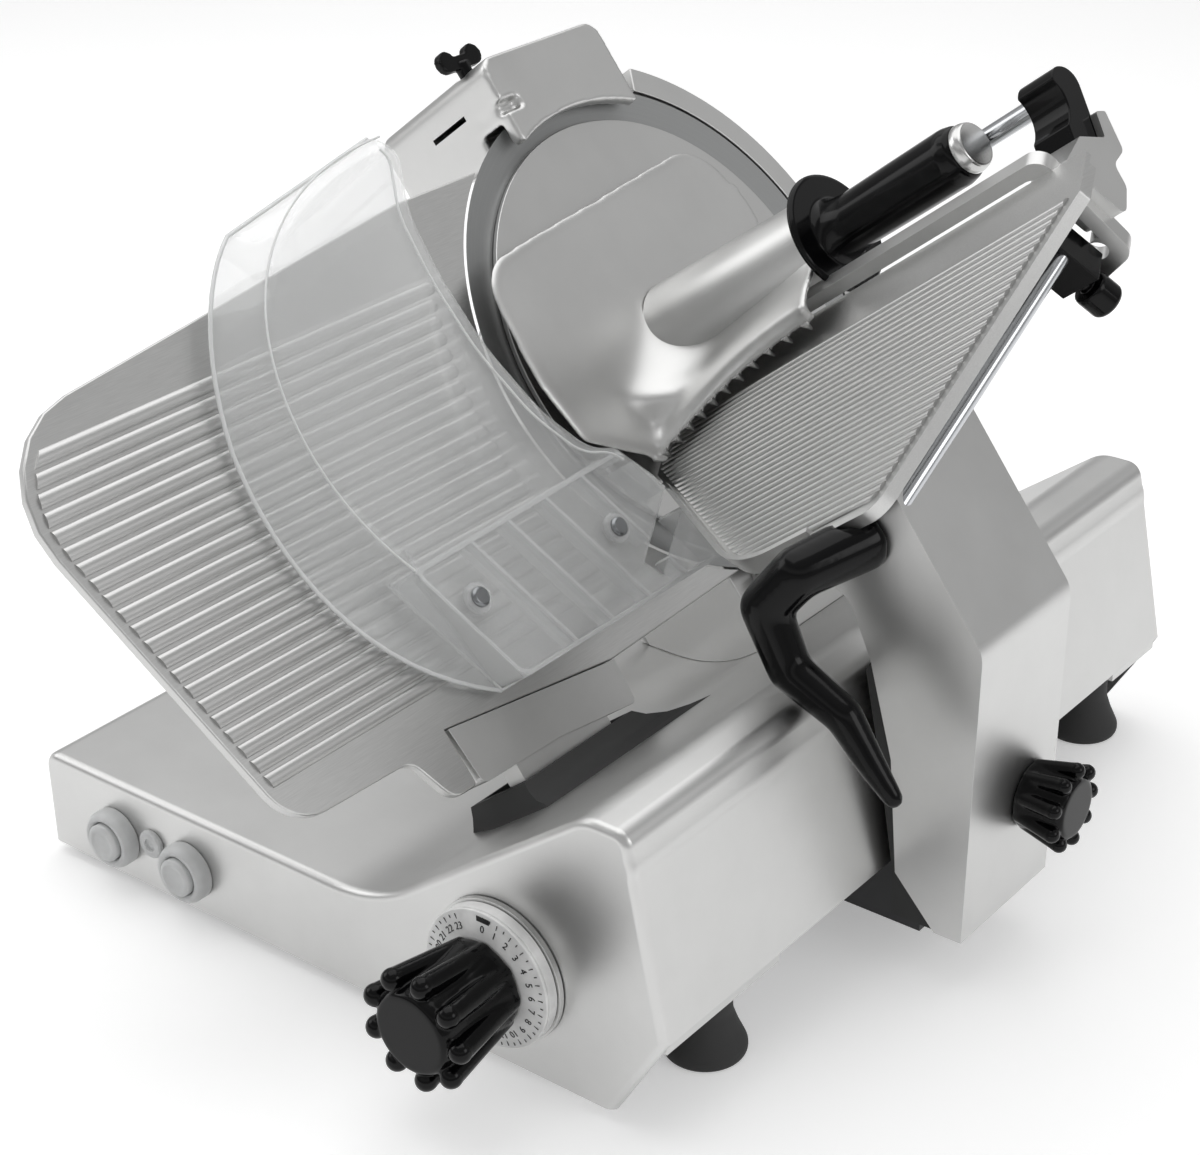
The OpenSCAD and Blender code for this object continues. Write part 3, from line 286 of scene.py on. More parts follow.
def ground_blade():
    """Hardened steel, ground on a turntable: rings round the shaft that draw the highlight out into rays."""
    material, tree, shader = new_material("ground_blade_steel")
    if tree:
        centred = add(tree, "ShaderNodeVectorMath", {"operation": "SUBTRACT"}, _0=object_space(tree))
        centred.inputs[1].default_value = BLADE
        radius = add(tree, "ShaderNodeVectorMath", {"operation": "LENGTH"}, _0=centred.outputs["Vector"])
        # Grinding marks of 0.05 mm are drawn 0.8 mm apart.
        scaled = add(tree, "ShaderNodeMath", {"operation": "MULTIPLY"}, _0=radius.outputs["Value"])
        scaled.inputs[1].default_value = 1250.0
        rings = add(tree, "ShaderNodeTexNoise", {"noise_dimensions": "1D", "Scale": 1.0, "Detail": 3.0},
                    W=scaled.outputs["Value"]).outputs["Fac"]
        surface(tree, shader, shades(tree, rings, 0.3, 0.7, colours().steel, 0.95, 1.03),
                spread(tree, rings, 0.46, 0.56), (rings, 0.05, 0.0001), Metallic=1.0)
    return material


def moulded(name, colour, rough, grain=1.2, depth=0.05, gloss=0.5, coat=0.0):
    """Moulded plastic or rubber: one colour with a faint flow of the mould's own unevenness in its gloss."""
    material, tree, shader = new_material(name)
    if tree:
        where = object_space(tree)
        flow = noise(tree, where, 60.0, 3.0)
        skin = noise(tree, where, 1000.0 / grain)
        surface(tree, shader, shades(tree, flow, 0.3, 0.7, colour, 0.85, 1.15),
                spread(tree, flow, rough * 0.8, rough * 1.25), (skin, depth, 0.0002), IOR=1.5,
                Coat_Weight=coat, Coat_Roughness=0.05, Specular_IOR_Level=gloss)
    return material


def black_bakelite():
    """Compression-moulded phenolic: deep black with a hard, wet-looking gloss."""
    return moulded("black_phenolic", colours().plastic, 0.16, depth=0.03, gloss=0.14, coat=0.12)


def black_rubber():
    """Moulded rubber: near black and dull, with hardly a highlight."""
    return moulded("black_rubber", colours().rubber, 0.6, grain=0.8, depth=0.25, gloss=0.06)


def clear_acrylic(name="clear_moulded_plastic", passing=0.5, cover=0.4):
    """Injection-moulded clear plastic: nearly colourless and glossy, and whiter where it is thick; its whitest
    variant, on the edge beads, is a painted highlight.
    """
    material, tree, shader = new_material(name)
    if tree:
        flow = noise(tree, object_space(tree), 25.0)
        surface(tree, shader, None, spread(tree, flow, 0.03, 0.10), (flow, 0.08, 0.001),
                Base_Color=rgba(linear("FBFCFC")), IOR=1.49, Transmission_Weight=passing, Alpha=cover)
    return material


def smoky_silicone():
    """Grey translucent silicone caps: milky, with light passing a few millimetres in."""
    material, tree, shader = new_material("grey_silicone")
    if tree:
        flow = noise(tree, object_space(tree), 90.0)
        surface(tree, shader, shades(tree, flow, 0.3, 0.7, colours().caps, 0.94, 1.04),
                spread(tree, flow, 0.28, 0.42), IOR=1.41, Subsurface_Weight=0.35,
                Subsurface_Radius=(0.004, 0.004, 0.004), Subsurface_Scale=1.0)
    return material


def printed_face():
    """Matt anodised dial face: pale silver, with no direction in its sheen."""
    return moulded("dial_face", colours().dial, 0.42, grain=0.6, depth=0.03)


def printing_ink():
    """Screen-printed black ink on the dial."""
    return moulded("dial_ink", linear("101010"), 0.5, depth=0.02)


# Making pieces

def copy_of(node):
    """A copy of a CAD node, with the flat faces' triangles joined."""
    mesh = bmesh.new()
    mesh.from_mesh(frame["nodes"][node].data)
    bmesh.ops.remove_doubles(mesh, verts=mesh.verts, dist=3e-6)
    bmesh.ops.dissolve_limit(mesh, angle_limit=radians(0.6), verts=mesh.verts, edges=mesh.edges)
    return mesh


def bevel(mesh, edges, width, segments, clamp=False):
    bmesh.ops.bevel(mesh, geom=edges, offset=width, offset_type="OFFSET", affect="EDGES", segments=segments,
                    profile=0.5, material=-1, clamp_overlap=clamp)


def ease(mesh, width, segments=3, angle=28, where=None):
    """Rounds edges that turn more than an angle and whose middle, in millimetres from the blade, passes a test."""
    back = MACHINE.inverted()
    edges = [e for e in mesh.edges if e.is_manifold and e.calc_face_angle(0) > radians(angle)
             and (where is None or where(back @ ((e.verts[0].co + e.verts[1].co) / 2)))]
    if edges:
        bevel(mesh, edges, width, segments, True)


def placed(name, data):
    """A new object in the scene."""
    holder = bpy.data.objects.new(name, data)
    bpy.context.scene.collection.objects.link(holder)
    return holder


def settled(holder):
    """The shape that an object's modifiers or curve settings give. The object goes, with its data."""
    data = bpy.data.meshes.new_from_object(holder.evaluated_get(bpy.context.evaluated_depsgraph_get()))
    result = bmesh.new()
    result.from_mesh(data)
    bpy.data.batch_remove((data, holder, holder.data))
    return result


def finish(mesh, name, body, slot, material, nodes=(), crease=32, weighted=True):
    """Turns a bmesh into a shaded piece that rides on its body."""
    for face in mesh.faces:
        face.smooth = True
    for edge in mesh.edges:
        edge.smooth = not (edge.is_manifold and edge.calc_face_angle(0) > radians(crease))
    data = bpy.data.meshes.new(name)
    mesh.to_mesh(data)
    mesh.free()
    piece = placed(name, data)
    data.materials.append(material)
    if weighted:
        normals = piece.modifiers.new("Even shading", "WEIGHTED_NORMAL")
        normals.keep_sharp = True
        normals.weight = 100
    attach(piece, body)
    if nodes:
        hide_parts(*nodes)


def cast(mesh, name, body, *nodes, **shading):
    """Finishes an anodised casting."""
    finish(mesh, name, body, "cast_aluminium", satin_casting(), nodes, **shading)


def black(mesh, name, body, *nodes, **shading):
    """Finishes a black moulding."""
    finish(mesh, name, body, "black_plastic", black_bakelite(), nodes, **shading)


def outward(mesh):
    """Points the faces outwards."""
    bmesh.ops.recalc_face_normals(mesh, faces=mesh.faces)
    return mesh


def closed(mesh, dist=1e-4):
    """Merges doubles and points the faces outwards."""
    bmesh.ops.remove_doubles(mesh, verts=mesh.verts, dist=dist)
    return outward(mesh)


def lathe(profile, place, steps=72, mesh=None):
    """A profile of radius and height turned round z, then placed."""
    own = bmesh.new()
    points = [own.verts.new((r, 0, z)) for r, z in profile]
    lines = [own.edges.new(pair) for pair in zip(points, points[1:])]
    bmesh.ops.spin(own, geom=points + lines, cent=(0, 0, 0), axis=(0, 0, 1), dvec=(0, 0, 0),
                   angle=2 * pi, steps=steps, use_merge=True, use_duplicate=False)
    closed(own)
    own.transform(place)
    return join(mesh, own)


def join(mesh, own):
    """Adds one bmesh to another and frees it."""
    if mesh is None:
        return own
    data = bpy.data.meshes.new("part")
    own.to_mesh(data)
    own.free()
    mesh.from_mesh(data)
    bpy.data.meshes.remove(data)
    return mesh


def rounded(points, radius, steps=5):
    """Radius and height pairs with their inner corners rounded."""
    out = [points[0]]
    for a, b, c in zip(points, points[1:], points[2:]):
        a, b, c = Vector(a), Vector(b), Vector(c)
        reach = min(radius, (a - b).length * 0.45, (c - b).length * 0.45)
        if reach < 1e-4:
            out.append(tuple(b))
            continue
        p, q = b + (a - b).normalized() * reach, b + (c - b).normalized() * reach
        for i in range(steps + 1):
            u = i / steps
            out.append(tuple(p * (1 - u) ** 2 + b * 2 * u * (1 - u) + q * u * u))
    out.append(points[-1])
    return out


def soften(mesh, verts, passes):
    for _ in range(passes):
        bmesh.ops.smooth_vert(mesh, verts=verts, factor=0.5, use_axis_x=True, use_axis_y=True, use_axis_z=True)


def blended(mesh, voxel, passes):
    """Melts a mesh into one skin with soft inner corners: voxel remesh, then smoothing."""
    data = bpy.data.meshes.new("skin")
    mesh.to_mesh(data)
    mesh.free()
    holder = placed("skin", data)
    remesh = holder.modifiers.new("Skin", "REMESH")
    remesh.mode = "VOXEL"
    remesh.voxel_size = voxel
    result = settled(holder)
    soften(result, result.verts, passes)
    return result


def bend(points, u):
    """A place on a cubic curve."""
    a, b, c, d = (Vector(p) for p in points)
    v = 1 - u
    return a * v ** 3 + b * (3 * v * v * u) + c * (3 * v * u * u) + d * u ** 3


def loop_of(corners, steps=6):
    """A closed outline from corners of x, y and radius."""
    out = []
    for i, (x, y, r) in enumerate(corners):
        b, a, c = Vector((x, y)), Vector(corners[i - 1][:2]), Vector(corners[(i + 1) % len(corners)][:2])
        u, v = (a - b).normalized(), (c - b).normalized()
        if r <= 0:
            out.append(b)
            continue
        half = u.angle(v) / 2
        reach = min(r / tan(half), (a - b).length * 0.49, (c - b).length * 0.49)
        mid = b + (u + v).normalized() * reach / cos(half)
        start, end = b + u * reach - mid, b + v * reach - mid
        turn = start.angle_signed(end)
        for k in range(steps + 1):
            w = -turn * k / steps
            out.append(mid + Vector((start.x * cos(w) - start.y * sin(w),
                                     start.x * sin(w) + start.y * cos(w))))
    return out


def outline(mesh, points):
    """A closed line through points, as edges in their order."""
    ring = [mesh.verts.new(point) for point in points]
    return [mesh.edges.new(pair) for pair in zip(ring, ring[1:] + ring[:1])]


def verts_of(geom):
    """The vertices in what a bmesh operator gives back."""
    return [part for part in geom if isinstance(part, bmesh.types.BMVert)]


def prism(points, low, high):
    """An outline drawn up between two heights."""
    own = bmesh.new()
    bmesh.ops.contextual_create(own, geom=outline(own, [(x, y, low) for x, y in points]))
    drawn = bmesh.ops.extrude_face_region(own, geom=own.faces[:])["geom"]
    bmesh.ops.translate(own, vec=(0, 0, high - low), verts=verts_of(drawn))
    return outward(own)


def wire(mesh, points, radius):
    """A round bead drawn through a line of points."""
    curve = bpy.data.curves.new("bead", "CURVE")
    curve.dimensions = "3D"
    line = curve.splines.new("POLY")
    line.points.add(len(points) - 1)
    for point, spot in zip(line.points, points):
        point.co = (*spot, 1)
    curve.bevel_depth = radius
    curve.bevel_resolution = 3
    curve.use_fill_caps = True
    return join(mesh, closed(settled(placed("bead", curve))))


def ridge(mesh, start, end, width, height, place):
    """A rounded ridge with rounded ends from start to end along x, in a frame where z is up."""
    r, length = width / 2, end - start
    arc = [(r * sin(a), r - r * cos(a)) for a in (pi / 2 * k / 4 for k in range(5))]
    profile = arc + [(x, length - y) for x, y in reversed(arc)]
    own = lathe(profile, turned(pi / 2, "Y"), 16)
    bmesh.ops.scale(own, vec=(1, 1, height / r), verts=own.verts)
    own.transform(place @ shift(start, 0, 0))
    return join(mesh, own)


def carved(mesh, cutter, way="DIFFERENCE"):
    """One closed mesh less another, or what both share."""
    pair = []
    for own in (mesh, cutter):
        data = bpy.data.meshes.new("blank")
        own.to_mesh(data)
        own.free()
        pair.append(placed("blank", data))
    cut = pair[0].modifiers.new("Cut", "BOOLEAN")
    cut.object = pair[1]
    cut.operation = way
    cut.solver = "EXACT"
    result = settled(pair[0])
    bpy.data.batch_remove((pair[1], pair[1].data))
    return result


def dress(material, slot, *nodes):
    """Gives CAD nodes that stay a material of their own."""
    for node in nodes:
        data = frame["nodes"][node].data
        data.materials.clear()
        data.materials.append(material)


def block(mesh, place, centre, size):
    """A small box added to a mesh, in a frame measured in millimetres."""
    made = bmesh.ops.create_cube(mesh, size=1.0)["verts"]
    bmesh.ops.scale(mesh, vec=size, verts=made)
    bmesh.ops.translate(mesh, vec=centre, verts=made)
    bmesh.ops.transform(mesh, matrix=place, verts=made)


def text_mesh(mesh, words, height, depth, place):
    """A number, raised a little, centred on its place."""
    curve = bpy.data.curves.new("number", "FONT")
    curve.body = words
    # The font's figures are 0.72 of its size in height.
    curve.size = height / 0.72
    curve.align_x = "CENTER"
    curve.extrude = depth / 2
    curve.resolution_u = 3
    own = settled(placed("number", curve))
    own.transform(place)
    join(mesh, own)


def fluted(radius, low, length, lobes, place):
    """A moulded knob: a smooth skirt, then lobes that stand out more towards the front and end in balls."""
    ball = radius * 0.18
    foot = radius * 0.60
    core = rounded([(0, 0), (radius * 0.72, 0), (radius * 0.76, length * 0.10), (radius * 0.71, length * 0.45),
                    (radius * 0.70, length * 0.92), (radius * 0.64, length), (0, length)], 2.0)
    mesh = lathe(core, STILL)
    lean = Matrix.Identity(4)
    lean[0][2] = (radius - ball - foot) / (length - ball)
    for i in range(lobes):
        turn = turned(2 * pi * i / lobes)
        tip = bmesh.ops.create_uvsphere(mesh, u_segments=20, v_segments=12, radius=ball)["verts"]
        end = shift(radius - ball, 0, length - ball * 0.9)
        bmesh.ops.transform(mesh, matrix=turn @ end, verts=tip)
        stem = bmesh.ops.create_cone(mesh, cap_ends=True, segments=20, radius1=ball * 0.9, radius2=ball * 0.95,
                                     depth=length - ball - 1)["verts"]
        out = shift(foot, 0, 0) @ lean @ shift(0, 0, (length - ball) / 2 + 0.5)
        bmesh.ops.transform(mesh, matrix=turn @ out, verts=stem)
    mesh.transform(place @ shift(0, 0, low))
    return blended(mesh, 0.0007, 5)


class SlicerOperator:
    bl_options = {"REGISTER", "UNDO"}


class SLICER_OT_base(SlicerOperator, bpy.types.Operator):
    """Rounds the base housing and its small fittings"""
    bl_idname = "slicer.base"
    bl_label = "Base"

    def execute(self, context):
        mesh = copy_of("housing")
        holes = [(START, BUTTON_Z, 20), (STOP, BUTTON_Z, 20), (*LAMP, 14), (*DIAL, 20)]

        def ends(m):
            outer = abs(m.y - FRONT) < 0.6 or abs(m.y - BACK) < 0.6
            off_hole = all(hypot(m.x - x, m.z - z) > r for x, z, r in holes)
            return outer and off_hole and m.z > -262

        ease(mesh, sizes().base_edge, 5, 28, ends)
        cast(mesh, "base_casting", "base", "housing")
        return {"FINISHED"}


class SLICER_OT_head(SlicerOperator, bpy.types.Operator):
    """Rounds the blade head, its cover, the ring guard and the sharpener hood"""
    bl_idname = "slicer.head"
    bl_label = "Blade head and sharpener"

    def execute(self, context):
        for node, name, slot, share in (("blade_head", "head_casting", "cast_aluminium", 2),
                                        ("head_cover", "head_cover_plate", "cast_aluminium", 1),
                                        ("ring_guard", "blade_ring", "grey_aluminium", 0.6)):
            mesh = copy_of(node)
            ease(mesh, sizes().small_edge * share)
            finish(mesh, name, "base", slot, satin_casting(), (node,))

        # The solid's wide slot is filled and a thin slit is cut instead.
        mesh = copy_of("sharpener_hood")
        block(mesh, CUTTING, (-46.5, 167.3, -3.5), (19, 10.4, 20))
        slit = bmesh.new()
        block(slit, CUTTING, (-50, 176, -38), (16, 3.6, 34))
        mesh = carved(blended(mesh, 0.0014, 10), slit)
        cast(mesh, "sharpener_cover", "base", "sharpener_hood", **SKIN)
        black(blended(copy_of("sharpener_knob"), 0.0006, 6), "sharpener_wing", "sharpener_lock", "sharpener_knob",
              crease=60, weighted=False)
        return {"FINISHED"}


class SLICER_OT_blade(SlicerOperator, bpy.types.Operator):
    """Gives the blade its ground steel and eases its cover"""
    bl_idname = "slicer.blade"
    bl_label = "Blade"

    def execute(self, context):
        mesh = copy_of("knife_cover")
        ease(mesh, sizes().small_edge * 0.4)
        finish(mesh, "blade_cover", "base", "cast_aluminium",
               turned_metal("turned_aluminium", colours().plate, 0.3), ("knife_cover",))
        dress(ground_blade(), "blade_steel", "blade")
        return {"FINISHED"}


class SLICER_OT_gauge(SlicerOperator, bpy.types.Operator):
    """Makes the gauge plate's ribbed face, its block and the gaiter"""
    bl_idname = "slicer.gauge"
    bl_label = "Gauge plate"

    def execute(self, context):
        plate = [(-511.5, 102.3, 62), (-450.5, -143.6, 30), (-364, -146, 11), (-350, -176, 12), (-331, -176, 3),
                 (-332, -141, 0), (-196, -158, 0), (-49.5, -153.5, 0), (-49.5, 138.6, 0), (-165, 138.6, 10)]
        face = [(-505, 98, 58), (-446, -137, 26), (-60, -137, 0), (-60, 132, 0), (-160, 132, 8)]
        mesh = prism(loop_of(plate), -8, -1.8)
        ease(mesh, 1.2, 3, 50)
        cut = [(0, -20), (166.2, -20), (166.2, 5), (0, 5)]
        mesh = carved(mesh, lathe(cut, STILL, 144))
        ribs, count, pitch, first, clear = None, 21, 10, -115.5, 191
        for i in range(count):
            t = first + pitch * i
            ribs = ridge(ribs, -530, -sqrt(clear ** 2 - t * t), 8.8, 2.3, shift(0, t, -2.25))
        mesh = join(mesh, carved(ribs, prism(loop_of(face), -5, 3), "INTERSECT"))
        mesh.transform(CUTTING)
        finish(mesh, "gauge_face", "gauge", "machined_aluminium", milled_plate("milled_gauge_plate"),
               ("gauge_plate",), crease=40)

        shape = [(-331, -141.5, 1), (-328, -177.5, 5), (-262, -179, 4), (-197, -186.5, 4), (-195.5, -158.5, 1)]
        mesh = prism(loop_of(shape, 4), -34.4, -0.6)
        nose = [e for e in mesh.edges if all(v.co.x > -200 and v.co.z > -1 for v in e.verts)
                and abs(e.verts[0].co.y - e.verts[1].co.y) > 8]
        bevel(mesh, nose, 18, 9)
        ease(mesh, 1.0, 3, 50)
        mesh.transform(CUTTING)
        mesh = join(mesh, copy_of("gauge_carrier"))
        cast(mesh, "gauge_block", "gauge", "gauge_carrier")

        # The boot's steps over the base: width, depth, middle and height
        steps = ((136, 67, -242, 2.5), (121, 60, -250, 6), (107, 54, -256, 11.5), (98, 51, -259, 17.5))
        mesh = bmesh.new()
        block(mesh, STILL, (0, 0, 0), (1, 1, 1))
        top = max(mesh.faces, key=lambda f: f.calc_center_median().z)
        for vert in mesh.verts:
            vert.co = (-234 + vert.co.x * 156, -20 + vert.co.y * 76, -206)
        for wide, deep, mid, rise in steps:
            top = bmesh.ops.extrude_discrete_faces(mesh, faces=[top])["faces"][0]
            centre = top.calc_center_median()
            for vert in top.verts:
                vert.co = (mid + copysign(wide / 2, vert.co.x - centre.x),
                           -20 + copysign(deep / 2, vert.co.y - centre.y), -206 + rise)
        outward(mesh)
        slot = bmesh.new()
        block(slot, STILL, (-261, -20.2, -196), (81.6, 43.4, 60))
        mesh = carved(mesh, slot)
        mesh.transform(CUTTING @ turned(-pi / 2, "X") @ Matrix.Scale(-1, 4, (0, 1, 0)))
        outward(mesh)
        finish(mesh, "gaiter", "base", "black_rubber", black_rubber(), ("gauge_gaiter",), crease=50)
        return {"FINISHED"}


class SLICER_OT_controls(SlicerOperator, bpy.types.Operator):
    """Makes the feet, pushbuttons, indicator and the numbered dial"""
    bl_idname = "slicer.controls"
    bl_label = "Feet and controls"

    def execute(self, context):
        mesh = None
        foot = rounded([(0, 0), (22.5, 0), (24, 2.5), (24, 6), (19, 17), (15.5, 27), (15, 57), (0, 57)], 2.5)
        for x in (-150, 242):
            for y in (-305, 123):
                mesh = lathe(foot, MACHINE @ shift(x, y, -272), 64, mesh)
        finish(mesh, "rubber_feet", "base", "black_rubber", black_rubber(), ("feet",))
        mesh = None
        collar = rounded([(12.4, 0), (18.5, 0), (18.5, 8), (16.5, 11), (14, 11), (12.4, 9.5), (12.4, 0)], 1.5)
        for x in (START, STOP):
            mesh = lathe(collar, on_front(x, BUTTON_Z), 64, mesh)
        finish(mesh, "cap_collars", "base", "grey_plastic", smoky_silicone(), ("button_collars",))
        cap = rounded([(0, -17), (12, -17), (12, 13), (9.5, 14), (7, 13.2), (0, 13.2)], 1.2)
        for x, body, node in ((START, "start", "start_button"), (STOP, "stop", "stop_button")):
            mesh = lathe(cap, on_front(x, BUTTON_Z), 64)
            finish(mesh, node + "_cap", body, "grey_plastic", smoky_silicone(), (node,))
        lamp = lathe(rounded([(4, 2.9), (4.2, 3.6), (8, 3.6), (9, 2.6), (9, 0), (6, 0), (6, -10), (0, -10), (0, 1.9),
                              (4, 1.9), (4, 2.9)], 0.6), on_front(*LAMP), 48)
        finish(lamp, "indicator", "base", "grey_plastic", smoky_silicone(), ("indicator_lamp",))
        dial = on_joint("dial_turn", (0, -1, 0), (1, 0, 0))
        collar = rounded([(6.1, 0), (41.5, 0), (41.5, 0.7), (43, 0.7), (43, 4), (6.1, 4)], 0.3)
        finish(lathe(collar, dial, 96), "dial_bezel", "base", "grey_aluminium",
               turned_metal("turned_bezel", colours().plate, 0.3), ("dial_collar",))
        ring = rounded([(6, 4.4), (41.5, 4.4), (41.5, 10.6), (40.3, 10.8), (40.3, 11.6), (41.6, 11.8), (41.2, 13),
                        (26, 15.4), (6, 15.4), (6, 4.4)], 0.4)
        finish(lathe(ring, dial, 128), "dial_scale", "dial", "machined_aluminium", printed_face(), ("scale_ring",))
        self.print_scale(dial)
        mesh = fluted(36, 15.8, 58, 9, dial)
        black(mesh, "dial_knob", "dial", "thickness_knob", crease=70, weighted=False)
        return {"FINISHED"}

    def print_scale(self, dial):
        """Numbers, ticks and the index mark, as thin prints on the scale's face."""
        step = radians(330 / sizes().numerals)
        marks = bmesh.new()
        for i in range(sizes().numerals * 2 + 1):
            long = i % 2 == 0
            turn = turned(-i * step / 2)
            block(marks, dial @ turn, (0, 37.6 if long else 38.4, 13.65), (0.45, 3.4 if long else 1.8, 0.3))
        block(marks, dial, (0, 37.6, 13.7), (8.5, 3, 0.4))
        for i in range(sizes().numerals + 1):
            place = dial @ turned(-i * step) @ shift(0, 30.6, 14.75) @ turned(-0.155, "X")
            text_mesh(marks, str(i), sizes().numeral * 1000, 0.3, place)
        finish(marks, "dial_print", "dial", "black_plastic", printing_ink(), weighted=False)


class SLICER_OT_carriage(SlicerOperator, bpy.types.Operator):
    """Rounds the carriage arm and makes its knob"""
    bl_idname = "slicer.carriage"
    bl_label = "Carriage"

    def execute(self, context):
        mesh = copy_of("carriage_arm")

        def long_edges(m):
            return (abs(m.y + 181) < 0.6 or abs(m.y + 85) < 0.6) and m.z > -230 and m.x > 150

        ease(mesh, sizes().arm_edge, 5, 28, long_edges)
        cast(mesh, "arm_casting", "carriage", "carriage_arm")
        knob = on_joint("arm_knob_turn", (1, 0, 0), (0, 1, 0))
        mesh = fluted(27, 1, 31, 9, knob)
        lathe([(0, 0), (5, 0), (5, 6), (0, 6)], knob, 32, mesh)
        black(mesh, "arm_knob_moulding", "arm_lock", "arm_knob", crease=70, weighted=False)
        return {"FINISHED"}


class SLICER_OT_tray(SlicerOperator, bpy.types.Operator):
    """Rounds the ribbed product tray, its frame, blocks and clamp"""
    bl_idname = "slicer.tray"
    bl_label = "Product tray"

    def execute(self, context):
        # The solid's ribs are pressed down to the floor, and finer ones are laid on it.
        mesh = copy_of("product_tray")
        back = TRAY.inverted()
        for vert in mesh.verts:
            spot = back @ vert.co
            if -1.7 < spot.y < 0.02 and spot.z > 10:
                spot.y = -1.8
                vert.co = TRAY @ spot
        closed(mesh, 2e-5)
        floor = [(2, 8, 0), (61, 8, 0), (61, 338, 3), (37, 338, 3), (-122, 225.5, 17), (-122, 123.5, 65)]
        ribs, count, pitch, first = None, 33, 4.7, -119
        for i in range(count):
            ribs = ridge(ribs, 6, 345, 4.2, 2.0, shift(first + pitch * i, 0, 0) @ UPRIGHT)
        area = prism(loop_of(floor, 10), -3, 3)
        area.transform(FLOOR)
        ribs = carved(ribs, area, "INTERSECT")
        ribs.transform(TRAY)
        mesh = join(mesh, ribs)
        finish(mesh, "ribbed_tray", "carriage", "machined_aluminium", milled_plate("milled_tray"),
               ("product_tray",))
        for make, node, name, width in ((cast, "tray_frame", "tray_hoop", 0.0025),
                                        (black, "rod_block", "rod_end_block", 0.003),
                                        (cast, "rod_bracket", "rod_lug", 0.003),
                                        (black, "clamp_block", "clamp_body", 0.002)):
            mesh = copy_of(node)
            ease(mesh, width, 4)
            make(mesh, name, "carriage", node)
        place = on_joint("clamp_knob_turn", (0.5104, 0.5592, -0.6533), (0, 1, 0))
        wheel = [(0, -10), (5, -10), (5, 5), (10.4, 5), (11, 7), (11, 20), (9.5, 22), (0, 22)]
        black(lathe(rounded(wheel, 1.2), place, 48), "clamp_thumbwheel", "clamp_lock", "clamp_knob")
        return {"FINISHED"}


class SLICER_OT_lever(SlicerOperator, bpy.types.Operator):
    """Makes the curved push lever"""
    bl_idname = "slicer.lever"
    bl_label = "Push lever"

    def execute(self, context):
        black(blended(copy_of("push_handle"), 0.0016, 12), "push_lever", "carriage", "push_handle", **SKIN)
        return {"FINISHED"}


